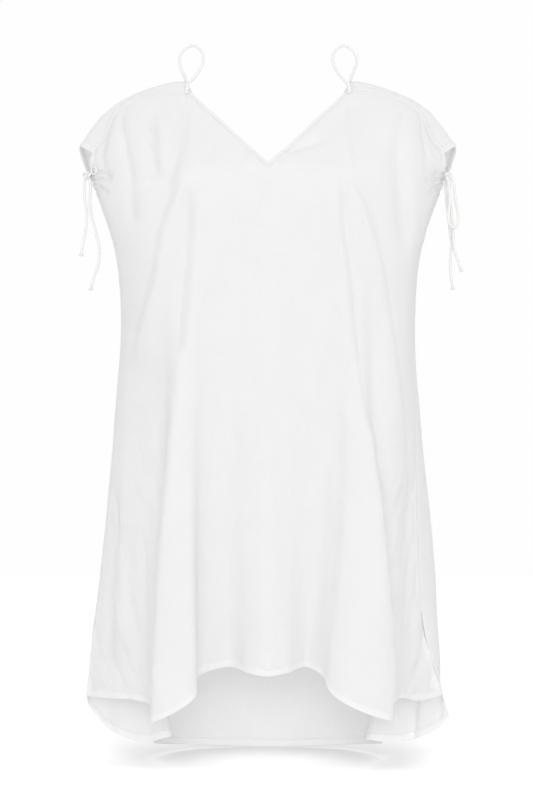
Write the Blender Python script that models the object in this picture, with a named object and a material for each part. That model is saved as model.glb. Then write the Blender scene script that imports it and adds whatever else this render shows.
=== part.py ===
"""Tunic top: V neck, grown-on cap sleeves with tied casings, strap loops, high-low hem, side slits.

The garment is filled out as when it is worn and hangs from its shoulders, with nothing inside.
It faces -Y, +X is its side on the right as seen from the front, and +Z is up.
The origin lies midway between the two neck points, where the shoulders carry it.
Sizes in the tables are millimetres.

Each panel is a wall of one thickness on a net of guide lines. A guide runs down the cloth along
the grain, from the panel's upper edge to its hem, through one place at each station. Rows
of the net run across the guides as smooth curves.
"""

import math
from collections import namedtuple

import bmesh
import bpy
import numpy as np

MM = 0.001

# Driving dimensions
WALL = 1.2  # thickness of the cloth wall
SEAM_INSET = 0.2  # each panel stops this far short of a seam line
CLEARANCE = 0.35  # between a panel and what is folded over its edge
BINDING_WALL = 0.8
NECK_BINDING_DEPTH = 7.0  # down the guides, which is about 5 across the strip
NECK_BINDING_START = 5.5  # it starts this far from the neck point, beside the strap loop
CASING_WIDTH = 8.0
STRAP_DIAMETER = 4.6
CORD_DIAMETER = 4.2
TIP_DIAMETER = 6.4
TIP_LENGTH = 8.0
KNOT_SIZE = (13.0, 12.0, 13.0)

# Heights of the level stations
RIBS, WAIST, HIP, THIGH, SLIT_TOP = -230.0, -330.0, -470.0, -620.0, -740.0

# Stations along a guide. The first four and the hem state x, y and z, the others x and y.
STATIONS = ("edge", "turn", "chest", "bust", "ribs", "waist", "hip", "thigh", "slit", "hem")
BUST_AT, SLIT_AT = STATIONS.index("bust"), STATIONS.index("slit")
LEVELS = {"ribs": RIBS, "waist": WAIST, "hip": HIP, "thigh": THIGH, "slit": SLIT_TOP}
ROWS_BETWEEN = (2, 3, 3, 3, 3, 2, 2, 3, 5)  # net rows from each station to the next
COLUMNS_OUTSIDE = (3, 2, 2, 2)  # net columns from each guide to the next, seam to neck point
COLUMNS_INSIDE = (4, 2, 2, 2, 2)  # and from there to the centre
COLUMNS_HALF = COLUMNS_OUTSIDE + COLUMNS_INSIDE
COLUMNS_BETWEEN = COLUMNS_HALF + COLUMNS_HALF[::-1]
NECK_COLUMN = sum(COLUMNS_OUTSIDE)
LAST_COLUMN = sum(COLUMNS_BETWEEN)

Upper = namedtuple("Upper", "edge turn chest bust ribs")
Lower = namedtuple("Lower", "waist hip thigh slit hem")

# Front, from the side seam to the centre. The upper half is the same on both sides.
FRONT_UPPER = (
    Upper((249, -15, -94), (250, -21, -103), (250, -22, -119), (246, -12, -137), (217, -10)),  # seam
    Upper((233, -14, -77), (236, -26, -92), (238, -38, -116), (235, -38, -148), (210, -46)),  # outer
    Upper((214, -9, -36), (216, -26, -55), (210, -54, -96), (202, -70, -148), (186, -80)),  # mid
    Upper((168, -8, -10), (164, -29, -32), (154, -67, -78), (142, -98, -134), (140, -106)),  # valley
    Upper((115, -6, -2), (115, -26, -25), (113, -70, -76), (109, -111, -126), (108, -116)),  # ridge
    Upper((92, -26.5, -26), (92, -45, -47), (91, -80, -87), (90, -113, -126), (91, -117)),  # inner
    Upper((69, -47, -49), (69, -63.5, -68), (69, -90, -98), (69, -114, -126), (69, -116)),  # foot
    Upper((46, -67.5, -72.5), (46, -80.5, -87.5), (46, -99, -109), (46, -114, -127), (46, -115.5)),
    Upper((22, -88.5, -97), (22, -97, -106.5), (22, -106, -117), (22, -114, -129), (22, -115.5)),
    Upper((0, -108, -119), (0, -114, -126.5), (0, -115, -133), (0, -115, -142), (0, -116)),  # centre
)
FRONT_LOWER_LEFT = (
    Lower((207, -9), (216, -11), (229, -12), (243, -12), (256, -15, -860)),
    Lower((196, -45), (204, -44), (212, -48), (219, -44), (221, -46, -860)),
    Lower((172, -78), (170, -76), (176, -74), (182, -70), (184, -66, -859)),
    Lower((142, -100), (140, -97), (146, -95), (150, -91), (153, -88, -868)),
    Lower((118.5, -118), (126.5, -127), (141.5, -137), (148.5, -144), (156.5, -150, -877.5)),
    Lower((100, -120), (104, -128), (103, -140), (100, -148), (97, -155, -842)),
    Lower((84, -118), (92, -120), (95, -124), (96, -127), (95, -124, -820)),
    Lower((55, -116), (56, -115), (54, -112), (53, -109), (52, -107, -808)),
    Lower((25, -117.5), (26, -121), (25, -125), (24, -130), (24, -134, -814)),
    Lower((0, -119), (0, -124), (0, -131), (0, -138), (0, -143, -816.5)),
)
FRONT_LOWER_RIGHT = (
    Lower((206.5, -12), (208, -32), (210, -44), (216, -40), (243, -32, -857.5)),
    Lower((190, -62), (187, -72), (191, -68), (196, -62), (209, -50, -863)),
    Lower((168, -86), (162, -98), (174, -92), (180, -82), (183, -67, -856)),
    Lower((140, -101), (144, -103), (157, -100), (166, -96), (169.5, -88, -863)),
    Lower((117.5, -118), (134, -127), (153.5, -137), (165, -144), (169, -148, -875.5)),
    Lower((100, -120), (108, -128), (104, -140), (92, -147), (82, -150, -835)),
    Lower((84, -118), (94, -121), (90, -125), (80, -128), (73, -128, -817)),
    Lower((55, -116), (58, -115), (56, -112), (54, -109), (52, -107, -808)),
    Lower((25, -117.5), (26, -121), (25, -125), (24, -130), (22, -135, -814)),
)

# Back, from the side seam to the centre. It starts on the shoulder seam, in front of the ridge.
BACK_UPPER = (
    Upper((249, -15, -94), (267, 1, -83), (263, 21, -106), (246, -12, -137), (217, -10)),  # seam
    Upper((233, -14, -77), (251, 4, -59), (250, 36, -92), (243, 14, -146), (216, 14)),  # wrap
    Upper((214, -9, -36), (224, 5, -29), (226, 52, -78), (226, 46, -148), (208, 40)),
    Upper((168, -8, -10), (172, 5, -2), (180, 58, -52), (198, 72, -148), (191, 62)),
    Upper((115, -6, -2), (117, 4, 8), (126, 54, -38), (162, 88, -148), (166, 80)),
    Upper((92, 14, -26), (93, 26, -34), (100, 60, -66), (128, 98, -148), (132, 94)),  # fold edge
    Upper((69, 32, -51), (70, 43, -62), (78, 72, -92), (98, 104, -150), (98, 102)),  # fold back
    Upper((46, 50.5, -76), (47, 59, -86), (53, 82, -113), (64, 107, -152), (63, 106)),
    Upper((22, 70, -102), (23, 77, -111), (26, 90, -130), (32, 108, -156), (32, 107)),
    Upper((0, 88, -126), (0, 94, -134.5), (0, 101, -146), (0, 107.5, -163), (0, 106)),  # centre
)
BACK_LOWER_LEFT = (
    Lower((207, -9), (216, -11), (229, -12), (243, -12), (256, -9, -862)),
    Lower((208.5, 14), (217, 16), (231, 16), (244, 12), (253, 6, -878)),
    Lower((201, 42), (209, 46), (222, 46), (232, 34), (229, 2, -907)),
    Lower((186, 63), (193, 70), (204, 68), (208, 42), (203, -15, -918)),
    Lower((162, 82), (168, 90), (177, 84), (180, 42), (173, -28, -923)),
    Lower((130, 95), (136, 106), (150, 96), (162, 44), (141.5, -40, -915)),
    Lower((97, 102), (102, 115), (122, 116), (160, 88), (165, 62, -940)),
    Lower((63, 106), (66, 120), (82, 131), (112, 132), (118, 134, -953)),
    Lower((31, 108), (33, 122), (42, 134), (58, 143), (62, 152, -958)),
    Lower((0, 108), (0, 121), (0, 134), (0, 145), (0, 158, -960)),
)
BACK_LOWER_RIGHT = (
    Lower((206.5, -12), (208, -32), (210, -44), (216, -40), (257, 0, -890)),
    Lower((208.5, 10), (216, 10), (231.5, 6), (241, 6), (243, 4, -908)),
    Lower((202, 38), (209, 44), (223, 44), (232, 32), (209.5, -12, -921)),
    Lower((187, 62), (194, 68), (206, 66), (211, 40), (204.5, -40, -917)),
    Lower((162, 82), (168, 90), (178, 84), (184, 40), (181, -42, -922)),
    Lower((130, 95), (136, 106), (150, 96), (164, 44), (144, -40, -919)),
    Lower((97, 102), (102, 115), (122, 116), (160, 88), (165, 62, -940)),
    Lower((63, 106), (66, 120), (82, 131), (112, 132), (118, 134, -953)),
    Lower((31, 108), (33, 122), (42, 134), (58, 143), (62, 152, -958)),
)

HALF_GUIDES = len(FRONT_UPPER)  # from a side seam to the centre, both counted
NECK_GUIDE = 4  # the guide that starts at the neck point
LAST_GUIDE = 2 * (HALF_GUIDES - 1)
CORNER_GUIDES = (NECK_GUIDE, HALF_GUIDES - 1, LAST_GUIDE - NECK_GUIDE)

# Strap loop: a teardrop from the front of the neck point up and over to its back. It is given
# for the +X side, and mirrored on the other.
STRAP_ROUTE = (
    (113, -7, 5), (107, -4, 12), (98, -1, 24), (92.5, 0, 36), (92.5, 0, 47), (98, 0, 56.5),
    (107, 0, 60.5), (116, 0, 57), (124, 0, 48), (126, 0, 38), (123, 2, 26), (118.5, 6, 17),
)
STRAP_FOOT = (11.0, 5.0)  # where a foot of the loop ends and starts, down from the shoulder

# Tied drawcords: where the knot sits, and each free stretch from the knot down to its end
KNOTS = {"l": (-254.5, -28, -127), "r": (253.5, -28.5, -128.5)}
RING_CENTER = (-244.5, -36, -121.3)
RING_ACROSS = (0.55, -0.83, 0.0)  # the ring lies flat on the sleeve, which runs this way
RING_HALF_WIDTH = 7.0
RING_HALF_HEIGHT = 5.0
RING_THICKNESS = 2.6
TIES = {
    "tie_end_l_short": (
        (-257.6, -27.5, -133.9), (-258.2, -27.5, -146), (-258.2, -27, -159), (-255.4, -27, -176),
        (-255.4, -27, -190), (-256.8, -27, -204), (-260.3, -27, -222), (-262.3, -27, -233.5),
    ),
    "tie_end_l_long": (
        (-250.6, -27, -133.7), (-249.8, -27, -146), (-250.5, -27, -164), (-248.4, -27, -184),
        (-242, -27, -208), (-237.5, -27, -232), (-238.5, -27, -249), (-244.9, -27, -270),
        (-248.2, -27, -282),
    ),
    "tie_end_r_long": (
        (250.5, -25.5, -135), (250.7, -25, -150), (253, -24, -176), (256.4, -24, -203.5),
        (258.5, -24, -224.7), (257.1, -24, -243), (257.1, -24, -262.7), (259.6, -24, -280.5),
    ),
    "tie_end_r_short": (
        (254.5, -28.5, -135.4), (255, -29.5, -150), (257.3, -30, -176), (260, -30, -203),
        (261.8, -30, -230), (266.5, -30, -245.5), (270.2, -30, -256),
    ),
}
BOW_LOOP_R = (
    (259.1, -32.3, -133.2), (261.5, -33.5, -145), (262.5, -33, -157), (265, -32, -170),
    (267, -32, -182), (266.8, -33, -193.5), (262.5, -36, -201), (256.5, -39.5, -199.5),
    (252.8, -41, -191), (252.9, -40.5, -180), (255, -39.5, -165), (254.5, -38, -150),
    (252.8, -35.5, -134.6),
)

WHITE = (0.86, 0.86, 0.85, 1.0)
WARM_WHITE = (0.87, 0.86, 0.83, 1.0)


def clear_scene():
    for obj in list(bpy.data.objects):
        bpy.data.objects.remove(obj, do_unlink=True)


def cloth_material(name, color, roughness):
    material = bpy.data.materials.new(name)
    material.use_nodes = True
    shader = material.node_tree.nodes["Principled BSDF"]
    shader.inputs["Base Color"].default_value = color
    shader.inputs["Roughness"].default_value = roughness
    shader.inputs["Metallic"].default_value = 0.0
    return material


def unit(vector):
    return vector / max(np.linalg.norm(vector), 1e-12)


# Smooth curves through points


def slopes_of(points):
    """The chord lengths between points, and the straight slope along each chord."""
    chords = np.maximum(np.linalg.norm(np.diff(points, axis=0), axis=1), 1e-9)
    return chords, np.diff(points, axis=0) / chords[:, None]


def tangents_of(points):
    """The tangent at each point of a smooth curve through them."""
    chords, slopes = slopes_of(points)
    tangents = np.empty_like(points)
    share = (chords[:-1] / (chords[:-1] + chords[1:]))[:, None]
    tangents[1:-1] = slopes[:-1] * (1 - share) + slopes[1:] * share
    tangents[0] = 1.5 * slopes[0] - 0.5 * tangents[1]
    tangents[-1] = 1.5 * slopes[-1] - 0.5 * tangents[-2]
    return tangents


def hermite(start, end, leaving, arriving, share):
    """A point on the curve between two points, whose tangents are scaled by the chord."""
    chord = np.linalg.norm(end - start)
    s2, s3 = share * share, share**3
    return (
        start * (2 * s3 - 3 * s2 + 1)
        + end * (3 * s2 - 2 * s3)
        + leaving * chord * (s3 - 2 * s2 + share)
        + arriving * chord * (s3 - s2)
    )


def smooth_route(route, step):
    """Points about a step apart on the smooth curve through a route's points."""
    points = np.array(route, float)
    tangents = tangents_of(points)
    chords, _ = slopes_of(points)
    out = [points[0]]
    for i, chord in enumerate(chords):
        count = max(1, round(chord / step))
        for k in range(1, count + 1):
            out.append(hermite(points[i], points[i + 1], tangents[i], tangents[i + 1], k / count))
    return np.array(out)


# The net of a panel


def place(guide_cell, station, side):
    """A table cell as a point, on the side it belongs to."""
    x, y = guide_cell[0], guide_cell[1]
    z = guide_cell[2] if len(guide_cell) == 3 else LEVELS[station]
    return (side * x, y, z)


def guide_points(upper, lower, side):
    cells = (*upper, *lower)
    return np.array([place(cell, name, side) for cell, name in zip(cells, STATIONS)], float)


def all_guides(upper, lower_left, lower_right):
    """Every guide of a panel from the -X seam to the +X seam, as points at the stations."""
    left = [guide_points(u, low, -1) for u, low in zip(upper, lower_left)]
    right = [guide_points(u, low, 1) for u, low in zip(upper, lower_right)]
    return left + right[::-1]


def shares_between(count, first_step, chord):
    """Where the net's lines cross from one table place to the next, as shares of the way.

    Beside an edge that is bound, the first line lies at the depth of the binding.
    """
    if first_step is None:
        return [k / count for k in range(count)]
    first = first_step / chord
    return [0.0] + [first + (1 - first) * k / (count - 1) for k in range(count - 1)]


def run_down(points, is_seam):
    """The points of one guide at every row. Along a seam both panels follow the same line."""
    tangents = tangents_of(points)
    chords, slopes = slopes_of(points)
    out = []
    for i, rows in enumerate(ROWS_BETWEEN):
        leaving, arriving = tangents[i], tangents[i + 1]
        if is_seam and i == BUST_AT:
            leaving = slopes[i]
        if is_seam and i + 1 == SLIT_AT:
            arriving = slopes[i]
        for share in shares_between(rows, NECK_BINDING_DEPTH if i == 0 else None, chords[i]):
            out.append(hermite(points[i], points[i + 1], leaving, arriving, share))
    out.append(points[-1])
    return np.array(out)


def row_stations():
    """The station number of each row, with the share of the way to the next station."""
    out = [i + k / rows for i, rows in enumerate(ROWS_BETWEEN) for k in range(rows)]
    return out + [float(len(ROWS_BETWEEN))]


def corner_weight(station):
    """How sharply a row turns at the neck points and the V: fully at the edge, not at the chest."""
    return max(0.0, 1 - station / 2)


def seam_weight(station):
    """How far a row runs on smoothly into the other panel at a side seam."""
    rise = min(1.0, max(0.0, 2 * (station - BUST_AT) + 1))
    fall = min(1.0, max(0.0, 2 * (SLIT_AT - station) + 1))
    return rise * fall


def run_across(points, station, before, after):
    """The points of one row at every column, through its guides."""
    tangents = tangents_of(points)
    chords, slopes = slopes_of(points)
    leaving, arriving = tangents.copy(), tangents.copy()
    sharp = corner_weight(station)
    for guide in CORNER_GUIDES:
        leaving[guide] += (slopes[guide] - tangents[guide]) * sharp
        arriving[guide] += (slopes[guide - 1] - tangents[guide]) * sharp
    joined = seam_weight(station)
    wide = tangents_of(np.vstack([before, points, after]))[1:-1]
    leaving[0] += (wide[0] - leaving[0]) * joined
    arriving[-1] += (wide[-1] - arriving[-1]) * joined
    last = len(chords) - 1
    out = []
    for i, count in enumerate(COLUMNS_BETWEEN):
        shares = shares_between(count, CASING_WIDTH if i in (0, last) else None, chords[i])
        if i == last:
            shares = [0.0] + [1 - share for share in shares[:0:-1]]
        for share in shares:
            out.append(hermite(points[i], points[i + 1], leaving[i], arriving[i + 1], share))
    out.append(points[-1])
    return np.array(out)


def panel_net(guides, other_guides):
    """The net of a panel: an array of columns, rows and x, y, z, on the cloth's middle surface."""
    seams = (0, len(guides) - 1)
    down = [run_down(points, i in seams) for i, points in enumerate(guides)]
    beyond = [run_down(other_guides[i], False) for i in (1, -2)]
    rows = []
    for j, station in enumerate(row_stations()):
        points = np.array([line[j] for line in down])
        rows.append(run_across(points, station, beyond[0][j], beyond[1][j]))
    return np.array(rows).transpose(1, 0, 2)


def net_normals(net, outward):
    """The normal at each point of the net: the mean of those of the cells around it."""
    cells = np.cross(net[1:, 1:] - net[:-1, :-1], net[:-1, 1:] - net[1:, :-1])
    cells = outward * cells / np.maximum(np.linalg.norm(cells, axis=2, keepdims=True), 1e-12)
    total = np.zeros_like(net)
    for i, j in ((0, 0), (0, 1), (1, 0), (1, 1)):
        total[i : i + cells.shape[0], j : j + cells.shape[1]] += cells
    return total / np.maximum(np.linalg.norm(total, axis=2, keepdims=True), 1e-12)


def seam_places():
    """The places in a net, as column and row, that lie on a seam with the other panel."""
    shoulders = (*range(NECK_COLUMN + 1), *range(LAST_COLUMN - NECK_COLUMN, LAST_COLUMN + 1))
    underarm, slit = sum(ROWS_BETWEEN[:BUST_AT]), sum(ROWS_BETWEEN[:SLIT_AT])
    sides = [(i, j) for i in (0, LAST_COLUMN) for j in range(underarm, slit + 1)]
    return [(i, 0) for i in shoulders] + sides


def share_seam_normals(one, other):
    """Both panels take the same normal on a seam, so their ends face each other there."""
    for i, j in seam_places():
        one[i, j] = other[i, j] = unit(one[i, j] + other[i, j])


def inset_seams(net):
    """The net with its seam edges drawn back a little, so that joined panels stay apart."""
    out = net.copy()
    for edge, inner in ((0, 1), (-1, -2)):
        for j in range(net.shape[1]):
            out[edge, j] += unit(net[inner, j] - net[edge, j]) * SEAM_INSET
    for i in (*range(NECK_COLUMN + 1), *range(LAST_COLUMN - NECK_COLUMN, LAST_COLUMN + 1)):
        out[i, 0] += unit(net[i, 1] - net[i, 0]) * SEAM_INSET
    return out


# Solids


def add_object(name, bm, material, smooth_angle=40):
    bmesh.ops.recalc_face_normals(bm, faces=bm.faces)
    mesh = bpy.data.meshes.new(name)
    bm.to_mesh(mesh)
    bm.free()
    mesh.shade_smooth()
    mesh.set_sharp_from_angle(angle=math.radians(smooth_angle))
    obj = bpy.data.objects.new(name, mesh)
    bpy.context.scene.collection.objects.link(obj)
    obj.data.materials.append(material)
    return obj


def splits_first(corners):
    """Whether a cell's shorter diagonal starts at its first corner.

    Layers that lie on the same cell are split by this one rule, so they stay parallel.
    """
    one, two, three, four = corners
    return np.linalg.norm(three - one) <= np.linalg.norm(four - two)


def add_cell(bm, first, second, third, fourth, from_first=True):
    """Two triangles for the four corners of a cell."""
    if from_first:
        bm.faces.new((first, second, third))
        bm.faces.new((first, third, fourth))
    else:
        bm.faces.new((second, third, fourth))
        bm.faces.new((second, fourth, first))


def wall_from_net(name, net, normals, material):
    """A closed wall: the net moved out and in by half the thickness, and a rim between."""
    columns, rows = net.shape[:2]
    bm = bmesh.new()
    layers = []
    for side in (0.5, -0.5):
        points = (net + normals * WALL * side) * MM
        layers.append([[bm.verts.new(points[i, j]) for j in range(rows)] for i in range(columns)])
    for i in range(columns - 1):
        for j in range(rows - 1):
            places = ((i, j), (i + 1, j), (i + 1, j + 1), (i, j + 1))
            from_first = splits_first([net[place] for place in places])
            for layer in layers:
                add_cell(bm, *(layer[m][n] for m, n in places), from_first)
    border = [(i, 0) for i in range(columns)] + [(columns - 1, j) for j in range(1, rows)]
    border += [(i, rows - 1) for i in range(columns - 2, -1, -1)]
    border += [(0, j) for j in range(rows - 2, 0, -1)]
    outer, inner = layers
    for (i, j), (m, n) in zip(border, border[1:] + border[:1]):
        add_cell(bm, outer[i][j], outer[m][n], inner[m][n], inner[i][j])
    return add_object(name, bm, material)


def strip_outs(edge, inner):
    """The way off the cloth at each point of its edge, longer where the edge turns a corner."""
    last = len(edge) - 1
    outs = []
    for i, point in enumerate(edge):
        out = unit(point - inner[i])
        beside = [edge[k] - point for k in (i - 1, i + 1) if 0 <= k <= last]
        slant = np.mean([np.linalg.norm(np.cross(out, unit(way))) for way in beside])
        outs.append(out / slant)
    return outs


def folded_strip(name, edge, inner, edge_normals, inner_normals, material):
    """A strip folded over an edge: a U in section, clear of the cloth inside it.

    It reaches from the edge to the net's next line, whose points are the inner ones.
    """
    inside = WALL / 2 + CLEARANCE
    outside = inside + BINDING_WALL
    section = (
        (None, outside), (CLEARANCE + BINDING_WALL, outside),
        (CLEARANCE + BINDING_WALL, -outside), (None, -outside),
        (None, -inside), (CLEARANCE, -inside), (CLEARANCE, inside), (None, inside),
    )
    bm = bmesh.new()
    rings = []
    for i, out in enumerate(strip_outs(edge, inner)):
        loop = []
        for beyond, off in section:
            if beyond is None:
                point = inner[i] + inner_normals[i] * off
            else:
                point = edge[i] + out * beyond + edge_normals[i] * off
            loop.append(bm.verts.new(point * MM))
        rings.append(loop)
    for i, (one, two) in enumerate(zip(rings, rings[1:])):
        from_first = splits_first((edge[i], edge[i + 1], inner[i + 1], inner[i]))
        for k, n in ((1, 0), (5, 4), (2, 3), (6, 7)):
            add_cell(bm, one[k], two[k], two[n], one[n], from_first)
        for k, n in ((1, 2), (3, 4), (5, 6), (7, 0)):
            add_cell(bm, one[k], two[k], two[n], one[n])
    for loop in (rings[0], rings[-1]):
        for corners in ((0, 1, 6, 7), (1, 2, 5, 6), (2, 3, 4, 5)):
            bm.faces.new([loop[k] for k in corners])
    return add_object(name, bm, material)


def tube(name, route, diameter, material, step):
    """A round cord along a smooth route, with closed ends."""
    points = smooth_route(route, step)
    curve = bpy.data.curves.new(name, "CURVE")
    curve.dimensions = "3D"
    curve.bevel_depth = diameter / 2 * MM
    curve.bevel_resolution = 2
    curve.use_fill_caps = True
    spline = curve.splines.new("POLY")
    spline.points.add(len(points) - 1)
    for spot, point in zip(spline.points, points):
        spot.co = (*(point * MM), 1)
    obj = bpy.data.objects.new(name, curve)
    bpy.context.scene.collection.objects.link(obj)
    obj.data.materials.append(material)
    return obj


def lump(name, center, size, material, along=(0, 0, 1), wraps=0, segments=14, rings=12):
    """A rounded knot: an egg whose girth swells where the cord wraps round it."""
    axis = unit(np.array(along, float))
    side = unit(np.cross(axis, (0.0, 1.0, 0.0)))
    front = np.cross(side, axis)
    bm = bmesh.new()
    poles = [bm.verts.new((np.array(center) + axis * size[2] / 2 * end) * MM) for end in (-1, 1)]
    loops = []
    for i in range(1, rings):
        angle = math.pi * i / rings
        swell = 1 - 0.08 * math.cos(2 * wraps * angle) * math.sin(angle)
        loop = []
        for k in range(segments):
            turn = 2 * math.pi * k / segments
            flat = side * math.cos(turn) * size[0] / 2 + front * math.sin(turn) * size[1] / 2
            high = -axis * math.cos(angle) * size[2] / 2
            point = np.array(center) + flat * math.sin(angle) * swell + high
            loop.append(bm.verts.new(point * MM))
        loops.append(loop)
    for first, second in zip(loops, loops[1:]):
        for k in range(segments):
            n = (k + 1) % segments
            bm.faces.new((first[k], first[n], second[n], second[k]))
    for pole, loop in ((poles[0], loops[0]), (poles[1], loops[-1])):
        for k in range(segments):
            bm.faces.new((pole, loop[k], loop[(k + 1) % segments]))
    return add_object(name, bm, material)


def ring(name, center, across, half_sizes, thickness, material, turns=18, sides=8):
    """A small closed loop of cord, standing upright along one direction."""
    across, upward = unit(np.array(across, float)), np.array((0.0, 0.0, 1.0))
    facing = np.cross(across, upward)
    bm = bmesh.new()
    loops = []
    for k in range(turns):
        turn = 2 * math.pi * k / turns
        spot = across * math.cos(turn) * half_sizes[0] + upward * math.sin(turn) * half_sizes[1]
        outward = across * math.cos(turn) * half_sizes[1] + upward * math.sin(turn) * half_sizes[0]
        loop = []
        for m in range(sides):
            around = 2 * math.pi * m / sides
            off = unit(outward) * math.cos(around) + facing * math.sin(around)
            loop.append(bm.verts.new((np.array(center) + spot + off * thickness / 2) * MM))
        loops.append(loop)
    for first, second in zip(loops, loops[1:] + loops[:1]):
        for m in range(sides):
            n = (m + 1) % sides
            bm.faces.new((first[m], first[n], second[n], second[m]))
    return add_object(name, bm, material)


# Pieces of the garment


def neck_binding(name, net, normals, material):
    """The strip over a neck edge, from beside one strap loop to beside the other."""
    span = slice(NECK_COLUMN, LAST_COLUMN - NECK_COLUMN + 1)
    lines = [grid[span, row].copy() for grid in (net, normals) for row in (0, 1)]
    for end, nearby in ((0, 1), (-1, -2)):
        share = NECK_BINDING_START / np.linalg.norm(lines[0][nearby] - lines[0][end])
        for line in lines:
            line[end] = line[end] * (1 - share) + line[nearby] * share
    return folded_strip(name, *lines, material)


def sleeve_casing(name, edge_column, front, back, material):
    """The strip over a sleeve opening, open at the underarm, where the cord comes out."""
    underarm = sum(ROWS_BETWEEN[:BUST_AT])
    lines = []
    for kind in (0, 1):
        for column in (edge_column, edge_column + 1 if edge_column == 0 else edge_column - 1):
            up = [front[kind][column, j] for j in range(underarm - 1, 0, -1)]
            down = [back[kind][column, j] for j in range(underarm)]
            lines.append(up + down)
    return folded_strip(name, *lines, material)


def strap_foot(net, normals, column, row):
    """Where a strap loop lies on a panel, from its lower end up to the shoulder."""
    top, below = net[column, row], net[column, row + 1]
    way = unit(below - top)
    lift = unit(normals[column, row] + normals[column, row + 1])
    lift = unit(lift - way * np.dot(lift, way)) * (WALL / 2 + CLEARANCE + STRAP_DIAMETER / 2)
    return [top + way * down + lift for down in STRAP_FOOT]


def strap_loop(name, side, front, back, material):
    """A teardrop loop of round strap, with a foot on each face of the neck point."""
    column = NECK_COLUMN if side < 0 else LAST_COLUMN - NECK_COLUMN
    front_foot = strap_foot(*front, column, 0)
    back_foot = strap_foot(*back, column, ROWS_BETWEEN[0])
    body = [np.array((side * x, y, z), float) for x, y, z in STRAP_ROUTE]
    return tube(name, [*front_foot, *body, *back_foot[::-1]], STRAP_DIAMETER, material, 5.5)


def main():
    clear_scene()
    cloth = cloth_material("white_voile", WHITE, 0.85)
    strip = cloth_material("white_binding", WHITE, 0.8)
    cord = cloth_material("rouleau_cord", WARM_WHITE, 0.75)

    front_guides = all_guides(FRONT_UPPER, FRONT_LOWER_LEFT, FRONT_LOWER_RIGHT)
    back_guides = all_guides(BACK_UPPER, BACK_LOWER_LEFT, BACK_LOWER_RIGHT)
    front_net = panel_net(front_guides, back_guides)
    back_net = panel_net(back_guides, front_guides)
    front_normals, back_normals = net_normals(front_net, -1), net_normals(back_net, 1)
    share_seam_normals(front_normals, back_normals)
    front = (inset_seams(front_net), front_normals)
    back = (inset_seams(back_net), back_normals)

    wall_from_net("front_panel", *front, cloth)
    wall_from_net("back_panel", *back, cloth)
    neck_binding("neck_binding_front", *front, strip)
    neck_binding("neck_binding_back", *back, strip)
    for suffix, column, side in (("l", 0, -1), ("r", LAST_COLUMN, 1)):
        sleeve_casing(f"sleeve_casing_{suffix}", column, front, back, strip)
        strap_loop(f"strap_loop_{suffix}", side, front, back, cord)
        lump(f"tie_knot_{suffix}", KNOTS[suffix], KNOT_SIZE, cord, wraps=2)
    half_sizes = (RING_HALF_WIDTH, RING_HALF_HEIGHT)
    ring("tie_ring_l", RING_CENTER, RING_ACROSS, half_sizes, RING_THICKNESS, cord)
    tube("tie_loop_r", BOW_LOOP_R, CORD_DIAMETER, cord, 8.0)
    for name, route in TIES.items():
        tube(name, route, CORD_DIAMETER, cord, 10.0)
        end = np.array(route[-1], float)
        way = unit(end - np.array(route[-2], float))
        center = end + way * (TIP_LENGTH / 2 + 0.3)
        size = (TIP_DIAMETER, TIP_DIAMETER, TIP_LENGTH)
        tip = name.replace("tie_end", "tie_tip")
        lump(tip, center, size, cord, along=way, segments=8, rings=5)


main()
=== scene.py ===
"""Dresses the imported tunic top: thin woven cloth, turned hems, bindings, casings, cords and knots.

It faces -Y, +X is its side on the right as seen from the front, and +Z is up. Sizes in the tables
are millimetres. The panels lie on the same guides as the solids that they replace, on a finer
net, and carry the creases, gathers and seams.
"""

import math
from collections import namedtuple

import bmesh
import bpy
import numpy as np
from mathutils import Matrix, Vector, noise


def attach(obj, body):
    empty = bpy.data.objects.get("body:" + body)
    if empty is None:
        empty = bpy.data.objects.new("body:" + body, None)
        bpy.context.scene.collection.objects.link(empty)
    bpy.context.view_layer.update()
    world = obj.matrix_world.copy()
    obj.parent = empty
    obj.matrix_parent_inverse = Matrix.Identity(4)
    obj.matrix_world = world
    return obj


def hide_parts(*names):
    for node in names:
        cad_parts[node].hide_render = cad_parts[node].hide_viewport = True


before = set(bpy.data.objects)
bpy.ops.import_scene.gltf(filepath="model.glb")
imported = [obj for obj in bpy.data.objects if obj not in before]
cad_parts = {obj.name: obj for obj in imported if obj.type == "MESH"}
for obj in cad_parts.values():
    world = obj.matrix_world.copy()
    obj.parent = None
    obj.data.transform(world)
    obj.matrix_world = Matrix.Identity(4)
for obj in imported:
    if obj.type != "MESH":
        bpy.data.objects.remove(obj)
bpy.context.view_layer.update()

MM = 0.001

# Cloth
LAYER = 0.55  # thickness of one layer
HEM_EXTRA = 1.1  # the layers that a turned hem adds
HEM_OUTWARD, HEM_INWARD = 0.2 * HEM_EXTRA, 0.8 * HEM_EXTRA  # what of them lies on each face
HEM_WIDTH = 10.0
HEM_ENDS = (HEM_WIDTH - 0.15, HEM_WIDTH + 0.25)  # where its thickness falls away
STRIP_LAYER = 0.45
STRIP_CLEARANCE = 0.1  # from the cloth's face to the strip over it
CASING_WIDTH = 8.0
BINDING_BULGE, CASING_BULGE = 0.25, 0.7  # how far their faces swell out
FOLD_ANGLES = np.radians((60, 30, 0, -30, -60))  # where a strip's points lie round the edge

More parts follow.
